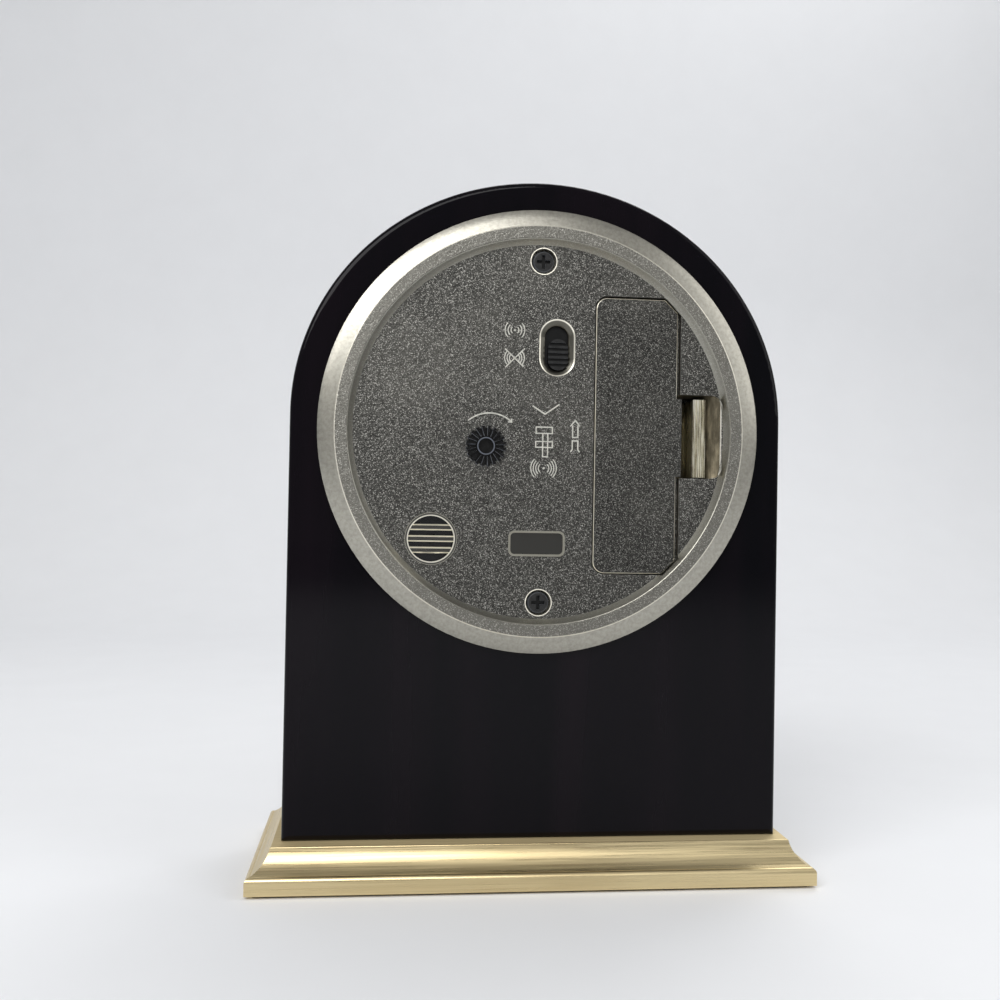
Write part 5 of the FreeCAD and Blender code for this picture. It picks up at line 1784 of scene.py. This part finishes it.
@dataclass(frozen=True)
class Studio:
    """Pale floor that curves up into a backdrop, soft lamps and an even world.

    Args:
        wall_y, front_y: Depths of the backdrop and of the floor's front.
        half_width: Half of the sheet's width.
        wall_top: Height of the backdrop.
        bend_radius, bend_steps: Bend between floor and backdrop.
        world_strength: Strength of the even light from all round.
        lamps: The soft lamps.
    """

    wall_y: float = -0.75
    front_y: float = 2.6
    half_width: float = 1.6
    wall_top: float = 1.3
    bend_radius: float = 0.3
    bend_steps: int = 16
    world_strength: float = 0.36
    lamps: tuple[Lamp, ...] = (
        Lamp("key", (0.31, 0.6, 0.58), (0.82, 0.42), 5.6),
        Lamp("fill", (-0.62, 0.3, 0.42), (0.5, 0.5), 1.2),
        Lamp("dial_side", (-0.3, -0.6, 0.95), (0.7, 0.5), 4.0),
    )

    def sweep(self) -> Piece:
        """Builds the floor and backdrop as one curved sheet.

        Returns:
            The sheet, which isn't part of the clock.
        """
        profile = [(self.front_y, 0.0), (self.wall_y + self.bend_radius, 0.0)]
        for step in range(1, self.bend_steps + 1):
            angle = math.pi / 2 * step / self.bend_steps
            back = self.bend_radius * (1 - math.sin(angle))
            profile.append((self.wall_y + back, self.bend_radius * (1 - math.cos(angle))))
        profile.append((self.wall_y, self.wall_top))
        mesh = bmesh.new()
        sides = (-self.half_width, self.half_width)
        rows = [[mesh.verts.new((x, y, z)) for x in sides] for y, z in profile]
        for first, second in zip(rows, rows[1:]):
            mesh.faces.new((first[0], first[1], second[1], second[0])).smooth = True
        sheet = placed("backdrop", mesh)
        sheet.data.materials.append(Paper().make("paper"))
        return sheet

    def world(self) -> None:
        """Lights the scene evenly from all round."""
        world = bpy.data.worlds.new("studio")
        world.use_nodes = True
        bpy.context.scene.world = world
        background = world.node_tree.nodes["Background"]
        background.inputs["Strength"].default_value = self.world_strength
        background.inputs["Color"].default_value = rgba(1.0)

    def build(self) -> list[Piece]:
        """Builds the whole studio.

        Returns:
            The sheet and the lamps.
        """
        sheet = self.sweep()
        lamps = [lamp.build() for lamp in self.lamps]
        self.world()
        return [sheet, *lamps]


def shown_y(node: str) -> float:
    """Depth of a node's face towards the rear."""
    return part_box(node)[1].y


def middle_of(node: str) -> Point:
    """X and Z of the middle of a node's box."""
    low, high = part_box(node)
    return (low.x + high.x) / 2, (low.z + high.z) / 2


def slot_finishes(centre_z: float, floor_y: float) -> dict[str, bpy.types.Material]:
    """Makes the material of each record slot.

    Args:
        centre_z: Height of the dial axis.
        floor_y: Depth of the cover's floor.

    Returns:
        The materials by slot.
    """
    plans = {
        "lacquered_wood": Lacquer(),
        "satin_brass": Brass(),
        "polished_brass": Brass((0.86, 0.68, 0.36), (0.74, 0.56, 0.27), 0.16),
        "felt": Felt(),
        "zinc_screw": Metal((0.6, 0.6, 0.58), 0.32),
        "black_screw": Metal((0.03, 0.03, 0.034), 0.26),
        "clear_glass": Glass(),
        "ring_white": Plastic((0.84, 0.8, 0.7), 0.5),
        "dial_white": DialEnamel(centre_z),
        "grey_plastic": Plastic((0.2, 0.21, 0.22), 0.45),
        "wheel_plastic": Plastic((0.82, 0.82, 0.78), 0.42, glow=0.08),
        "train_brass": Metal((0.8, 0.62, 0.32), 0.25),
        "magnet": Plastic((0.03, 0.03, 0.032), 0.5),
        "hand_brass": Metal((0.8, 0.62, 0.3), 0.22),
        "hand_black": Plastic((0.01, 0.01, 0.011), 0.3),
        "soft_iron": Metal((0.5, 0.5, 0.5), 0.35),
        "copper_wire": Winding(),
        "stem_steel": Metal((0.6, 0.6, 0.6), 0.25),
        "black_plastic": Plastic((0.008, 0.008, 0.01), 0.18),
        "champagne_plastic": MetallisedPlastic(centre_z, floor_y),
        "cell_jacket": CellJacket(),
        "nickel_contact": Metal((0.72, 0.7, 0.64), 0.2),
        "board_laminate": Board(),
        "potting": Plastic((0.015, 0.015, 0.016), 0.35),
    }
    return {slot: plan.make(slot) for slot, plan in plans.items()}


def special_finishes(centre_z: float, floor_y: float) -> dict[str, bpy.types.Material]:
    """Makes the materials of the rear pieces that don't take their slot's.

    Args:
        centre_z: Height of the dial axis.
        floor_y: Depth of the cover's floor.

    Returns:
        The materials by node.
    """
    door = MetallisedPlastic(centre_z, floor_y, flat=(0.054, 0.053, 0.049))
    # The screws' cross recesses take the painted shade of the grooves.
    screws = WornBlackPaintedLight(shown_y("rear_cover_screws"), groove=0.0004, face=0.026)
    return {
        "battery_door": door.make("door_plastic"),
        "battery_door_latch": TonguePlating(shown_y("battery_door_latch")).make("tongue_plating"),
        "alarm_switch_slider": WornBlackPaintedLight(shown_y("alarm_switch_slider")).make("slider_plastic"),
        "rear_cover_screws": screws.make("screw_black"),
        "setting_knob": KnobPlastic(middle_of("setting_knob")).make("knob_plastic"),
    }


def main() -> None:
    """Dresses the CAD part, builds the scene's own pieces and reports each one."""
    logging.basicConfig(level=logging.INFO)
    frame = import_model()
    bpy.context.scene.view_settings.view_transform = "Standard"
    centre_z = middle_of("dial")[1]
    floor_y = shown_y("battery_door")
    made = slot_finishes(centre_z, floor_y)
    special = special_finishes(centre_z, floor_y)
    slots = {part["node"]: part["material_slot"] for part in frame["record"]["subparts"]}
    dial_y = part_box("dial")[0].y
    for maker in (
        CadDresser(frame["nodes"], slots, made, special, ARRISES),
        RearMarks(MarkPlating().make("mark_plating"), floor_y, centre_z / MM),
        DialFace(made["hand_black"], dial_y, centre_z / MM),
        PhotoCamera(),
        Studio(),
    ):
        for piece in maker.build():
            LOG.info("%s: %s", type(maker).__name__, piece.name)


if __name__ == "__main__":
    main()
